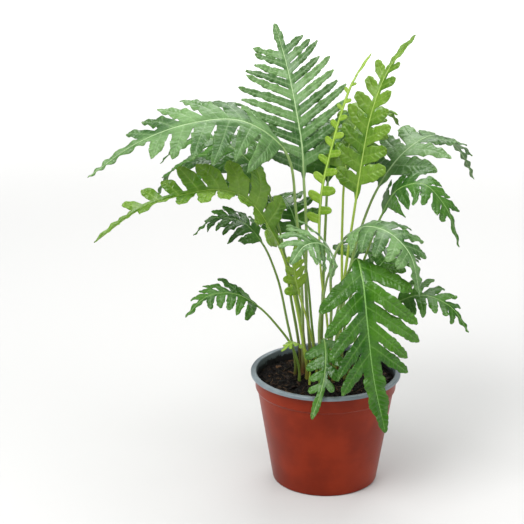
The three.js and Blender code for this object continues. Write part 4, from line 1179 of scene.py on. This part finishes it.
def soilHeight(x, y):
    # A low mound at the crown, the solid's own lumps eased between their places, and crumbs of three sizes.
    away = np.hypot(x - soil["crown"][0], y - soil["crown"][1])
    mound = soil["crownRise"] * np.exp(-((away / soil["crownReach"]) ** 2)) - soil["settled"]
    ring = np.clip(np.hypot(x, y) / soilEdge, 0, 1) * soil["lumpRings"]
    turn = (np.arctan2(y, x) / (2 * math.pi) % 1) * soil["lumpSides"]
    low = np.floor(ring)
    step = np.floor(turn)

    def lump(i, k):
        i = np.minimum(i, soil["lumpRings"])
        return 2 * np.where(i < 1, chance(0, 0), chance(i, k % soil["lumpSides"])) - 1

    across = smooth(turn - step)
    inner = mix(lump(low, step), lump(low, step + 1), across)
    outer = mix(lump(low + 1, step), lump(low + 1, step + 1), across)
    lumps = soil["lumps"] * mix(inner, outer, smooth(ring - low))
    crumbs = sum(height * patchNoise(x, y, size, layer)
                 for layer, (height, size) in enumerate(soil["crumbLayers"], 1))
    return soilTop + mound + lumps + crumbs


def soilMesh(material):
    # Rings from the middle of the top out to the pot's wall, then down the wall, and in along the floor.
    floor = pot["drainRise"] + pot["wall"] + soil["floorGap"]
    shoulder = collarFoot - pot["collarStep"] - pot["stepShift"]
    radius = soilEdge * np.linspace(1 / soil["rings"], 1, soil["rings"])
    angle = evenTurns(soil["sides"])
    x = radius[:, None] * np.cos(angle)
    y = radius[:, None] * np.sin(angle)
    top = np.stack([x, y, soilHeight(x, y)], -1)
    lower = [(collarInner - soil["gap"], shoulder + soil["widest"]),
             (insideAt(shoulder) - soil["gap"], shoulder), (insideAt(floor) - soil["gap"], floor)]
    sides = turned(np.array(lower), soil["sides"])
    points = np.concatenate([top.reshape(-1, 3), sides, [[0, 0, soilHeight(0.0, 0.0)], [0, 0, floor]]])
    rows = soil["rings"] + len(lower)
    quads = gridFaces(rows, soil["sides"], loop=True)[:, ::-1]
    caps = capFaces(soil["sides"], rows, len(points) - 2, len(points) - 1)[:, ::-1]
    return makeMesh("peat", points, quads, caps, [material])


def spots(draw, count, reach):  # random places on the soil, evenly spread over its circle
    radius = reach * np.sqrt(draw.random(count))
    angle = draw.random(count) * 2 * math.pi
    return radius * np.cos(angle), radius * np.sin(angle)


def repeated(name, points, rows, around, inward, draw, material):
    # One mesh of many closed tubes, each with its net of points and then its two end points. Each tube gets
    # a tone at random.
    count, each = points.shape[:2]
    step = -1 if inward else 1
    quads = gridFaces(rows, around, loop=True)[:, ::step]
    caps = capFaces(around, rows, each - 2, each - 1)[:, ::step]
    first = (np.arange(count) * each)[:, None, None]
    mesh = makeMesh(name, points, quads + first, caps + first, [material])
    addValues(mesh, "tone", np.repeat(draw.random(count), each))
    return mesh


def lumpsMesh(name, material):
    # Small uneven balls: a net of rings from pole to pole, its radius changed at random at each point, then
    # flattened, tilted and turned. Most are near the least size.
    bits = looseBits[name]
    count = bits["count"]
    low, high = bits["size"]
    draw = np.random.default_rng(bits["seed"])
    around = 6
    rings = np.array([0.25, 0.5, 0.75]) * math.pi
    angle = evenTurns(around)
    net = np.stack([np.sin(rings)[:, None] * np.cos(angle), np.sin(rings)[:, None] * np.sin(angle),
                    np.cos(rings)[:, None] + 0 * angle], -1).reshape(-1, 3)
    ball = np.concatenate([net, [[0, 0, 1], [0, 0, -1]]])
    x, y = spots(draw, count, soilEdge - high)
    size = mix(low, high, draw.random(count) ** 2.4)
    places = ball[None] * draw.uniform(0.7, 1.25, (count, len(ball), 1))
    places = places * draw.uniform(0.7, 1.3, (count, 1, 3)) * [1, 1, bits["flatness"]]
    tilt = draw.normal(0, 0.5, (count, 2))
    places[..., 2] += places[..., 0] * tilt[:, :1] + places[..., 1] * tilt[:, 1:]
    turn = draw.random(count)[:, None] * 2 * math.pi
    turnedX = places[..., 0] * np.cos(turn) - places[..., 1] * np.sin(turn)
    turnedY = places[..., 0] * np.sin(turn) + places[..., 1] * np.cos(turn)
    places = np.stack([turnedX, turnedY, places[..., 2]], -1) * size[:, None, None]
    ground = soilHeight(x, y) + 0.25 * size * bits["flatness"]
    places = places + np.stack([x, y, ground], -1)[:, None]
    return repeated(name, places, len(rings), around, True, draw, material)


def fibresMesh(material):
    # Thin strands that lie on the peat: a tube of five sides along a gently curved line that follows the
    # ground with a low arch, pointed at both ends.
    draw = np.random.default_rng(fibres["seed"])
    count = fibres["count"]
    stations = 9
    around = 5
    x, y = spots(draw, count, soilEdge - fibres["clear"])
    size = mix(*fibres["size"], draw.random(count))
    heading = draw.random(count) * 2 * math.pi
    curve = draw.normal(0, fibres["curve"], count)
    t = np.linspace(-0.5, 0.5, stations)
    turn = heading[:, None] + curve[:, None] * t
    lineX = x[:, None] + size[:, None] * t * np.cos(turn)
    lineY = y[:, None] + size[:, None] * t * np.sin(turn)
    held = np.minimum(1, (soilEdge - 0.5) / np.hypot(lineX, lineY))  # none passes the pot's wall
    lineX = lineX * held
    lineY = lineY * held
    arch = draw.random(count)[:, None] * fibres["arch"] * (0.25 - t ** 2) * 4
    line = np.stack([lineX, lineY, soilHeight(lineX, lineY) + 0.2 + arch], -1)
    along = unit(np.gradient(line, axis=1))
    side = unit(np.cross(along, [0, 0, 1.0]))
    up = np.cross(side, along)
    radius = fibres["thick"] * mix(0.6, 1.5, draw.random(count))[:, None] * (1.02 - (2 * t) ** 6)
    angle = evenTurns(around)[:, None]
    ring = side[:, :, None] * np.cos(angle) + up[:, :, None] * np.sin(angle)
    places = line[:, :, None] + ring * radius[:, :, None, None]
    points = np.concatenate([places.reshape(count, -1, 3), line[:, :1], line[:, -1:]], 1)
    return repeated("peat_fibres", points, stations, around, False, draw, material)


def peatFinish():
    # Moist peat: black-brown and matt, in crumbs of one to four millimetres with lighter bits of plant. Its
    # black-brown is darkened further as painted shade of the foliage above.
    material, tree, place = newMaterial("moistPeatWithPaintedShade")
    crumbs = add(tree, "TexVoronoi", {"Vector": place, "Scale": perMetre(1.7), "Randomness": 1})
    fine = add(tree, "TexNoise", {"Vector": place, "Scale": perMetre(0.8), "Detail": 5, "Roughness": 0.7})
    broad = add(tree, "TexNoise", {"Vector": place, "Scale": perMetre(16), "Detail": 3})
    bits = add(tree, "SeparateColor", {0: crumbs.outputs["Color"]})
    skin = paint(tree, colour("#040303"), (fine, 0.35, 0.72, 1, "#110c09"),
                 (broad, 0.45, 0.75, 0.5, "#070504"), (bits, 0.9, 0.97, 0.8, "#33261a"))
    relief = add(tree, "Math", {0: crumbs, 1: -0.6, 2: fine}, operation="MULTIPLY_ADD")
    bump = add(tree, "Bump", {"Strength": 0.8, "Distance": 0.6 * mm, "Height": relief})
    rough = add(tree, "MapRange", {0: fine, 1: 0.3, 2: 0.8, 3: 0.95, 4: 0.7}, **eased)
    return finished(material, tree, {"Base Color": skin, "Roughness": rough, "Normal": bump,
                                     "Specular IOR Level": 0.15})


def bitsFinish(name, dark, light, size):
    # Loose bits of the peat: each has a tone of its own, between dark and light.
    material, tree, place = newMaterial(name)
    tone = add(tree, "Attribute", attribute_name="tone").outputs["Fac"]
    tone = add(tree, "Math", {0: tone, 1: 2.2}, operation="POWER")
    grain = add(tree, "TexNoise", {"Vector": place, "Scale": perMetre(size), "Detail": 4})
    skin = add(tree, "Mix", {0: tone, 6: colour(dark), 7: colour(light)}, **inColour)
    skin = tint(tree, skin, grain, 0.3, 0.7, 0.7, 1.2)
    bump = add(tree, "Bump", {"Strength": 0.6, "Distance": 0.2 * mm, "Height": grain})
    rough = add(tree, "MapRange", {0: grain, 1: 0.3, 2: 0.7, 3: 0.9, 4: 0.7}, **eased)
    return finished(material, tree, {"Base Color": skin, "Roughness": rough, "Normal": bump,
                                     "Specular IOR Level": 0.3})


placePiece("peat", soilMesh(peatFinish()), "soil", "soil")
crumb = bitsFinish("peatCrumb", "#070504", "#241a12", 1.0)
placePiece("peat_crumbs", lumpsMesh("peat_crumbs", crumb), "soil")
chip = bitsFinish("barkChip", "#20130c", "#6b4c31", 0.9)
placePiece("bark_chips", lumpsMesh("bark_chips", chip), "soil")
fibre = bitsFinish("peatFibre", "#2a1c11", "#846746", 1.5)
placePiece("peat_fibres", fibresMesh(fibre), "soil")
print("soil made")


# A pale floor, soft light from three sides, and the camera at the photograph's angle.
stage = dict(
    floorSize=9.0,
    floorTone="#c4c4c3",
    floorGlow=0.8,  # of the far part of the floor, so that it stays white behind the plant
    glowFrom=0.7,
    glowTo=2.2,
    skyTone="#ffffff",
    skyLow=(0.02, 0.28),  # the sky fades from the horizon's strength to the middle one between these
    skyHigh=(0.55, 0.95),  # and gets its top strength between these, as heights from 0 to 1
    skyHorizon=0.8,
    skyMiddle=0.16,
    skyTop=1.3,
    keyPlace=(-0.9, -1.0, 1.9),
    keySize=1.3,
    keyPower=46,
    fillPlace=(1.3, -0.7, 1.0),
    fillSize=1.2,
    fillPower=8,
    backPlace=(0.3, 1.3, 1.7),
    backSize=1.3,
    backPower=24,
    lightsFace=(0, 0, 0.2),
    cameraPlace=(-0.0510, -1.30036, 0.61778),
    cameraTilt=71.5,  # degrees from straight down
    lens=120,
)


def makeFloor():
    # A square sheet. Its glow grows with the distance from the pot.
    half = stage["floorSize"] / 2 / mm
    points = [(-half, -half, 0), (half, -half, 0), (half, half, 0), (-half, half, 0)]
    material, tree, place = newMaterial("paleFloor")
    away = add(tree, "VectorMath", {0: place}, operation="LENGTH")
    glow = add(tree, "MapRange", {0: away, 1: stage["glowFrom"], 2: stage["glowTo"],
                                  4: stage["floorGlow"]}, **eased)
    finished(material, tree, {
        "Base Color": colour(stage["floorTone"]), "Roughness": 0.8, "Specular IOR Level": 0.2,
        "Emission Color": colour("#ffffff"), "Emission Strength": glow})
    floor = bpy.data.objects.new("floor", makeMesh("floor", points, [(0, 1, 2, 3)], [], [material]))
    bpy.context.scene.collection.objects.link(floor)


def makeLight(name):
    # A square soft light that faces the middle of the plant.
    light = bpy.data.lights.new(name, "AREA")
    light.shape = "SQUARE"
    light.size = stage[name + "Size"]
    light.energy = stage[name + "Power"]
    lamp = bpy.data.objects.new(name, light)
    lamp.location = stage[name + "Place"]
    toPlant = Vector(stage["lightsFace"]) - lamp.location
    lamp.rotation_euler = toPlant.to_track_quat("-Z", "Y").to_euler()
    bpy.context.scene.collection.objects.link(lamp)


def makeSky():
    # Its strength depends on the height: bright at the horizon and at the top.
    world = bpy.data.worlds.new("studio")
    world.use_nodes = True
    tree = world.node_tree
    tree.nodes.clear()
    height = add(tree, "SeparateXYZ", {0: add(tree, "TexCoord").outputs["Generated"]}).outputs[2]
    low, high = (add(tree, "MapRange", {0: height, 1: start, 2: end, 3: before, 4: after}, **eased)
                 for (start, end), before, after in (
                     (stage["skyLow"], stage["skyHorizon"], stage["skyMiddle"]),
                     (stage["skyHigh"], 0, stage["skyTop"])))
    strength = add(tree, "Math", {0: low, 1: high}, operation="ADD")
    seen = add(tree, "LightPath").outputs["Is Camera Ray"]  # the sky itself looks as white as the floor
    strength = add(tree, "Math", {0: strength, 1: seen}, operation="MAXIMUM")
    background = add(tree, "Background", {0: colour(stage["skyTone"]), 1: strength})
    add(tree, "OutputWorld", {0: background})
    bpy.context.scene.world = world


def makeCamera():  # in front of the plant and a little above it, tilted down
    data = bpy.data.cameras.new("camera")
    data.lens = stage["lens"]
    data.sensor_width = 36
    camera = bpy.data.objects.new("camera", data)
    camera.location = stage["cameraPlace"]
    camera.rotation_euler = (math.radians(stage["cameraTilt"]), 0, 0)
    bpy.context.scene.collection.objects.link(camera)
    bpy.context.scene.camera = camera


makeFloor()
for name in ("key", "fill", "back"):
    makeLight(name)
makeSky()
makeCamera()
bpy.context.scene.view_settings.view_transform = "Standard"
print("stage made")
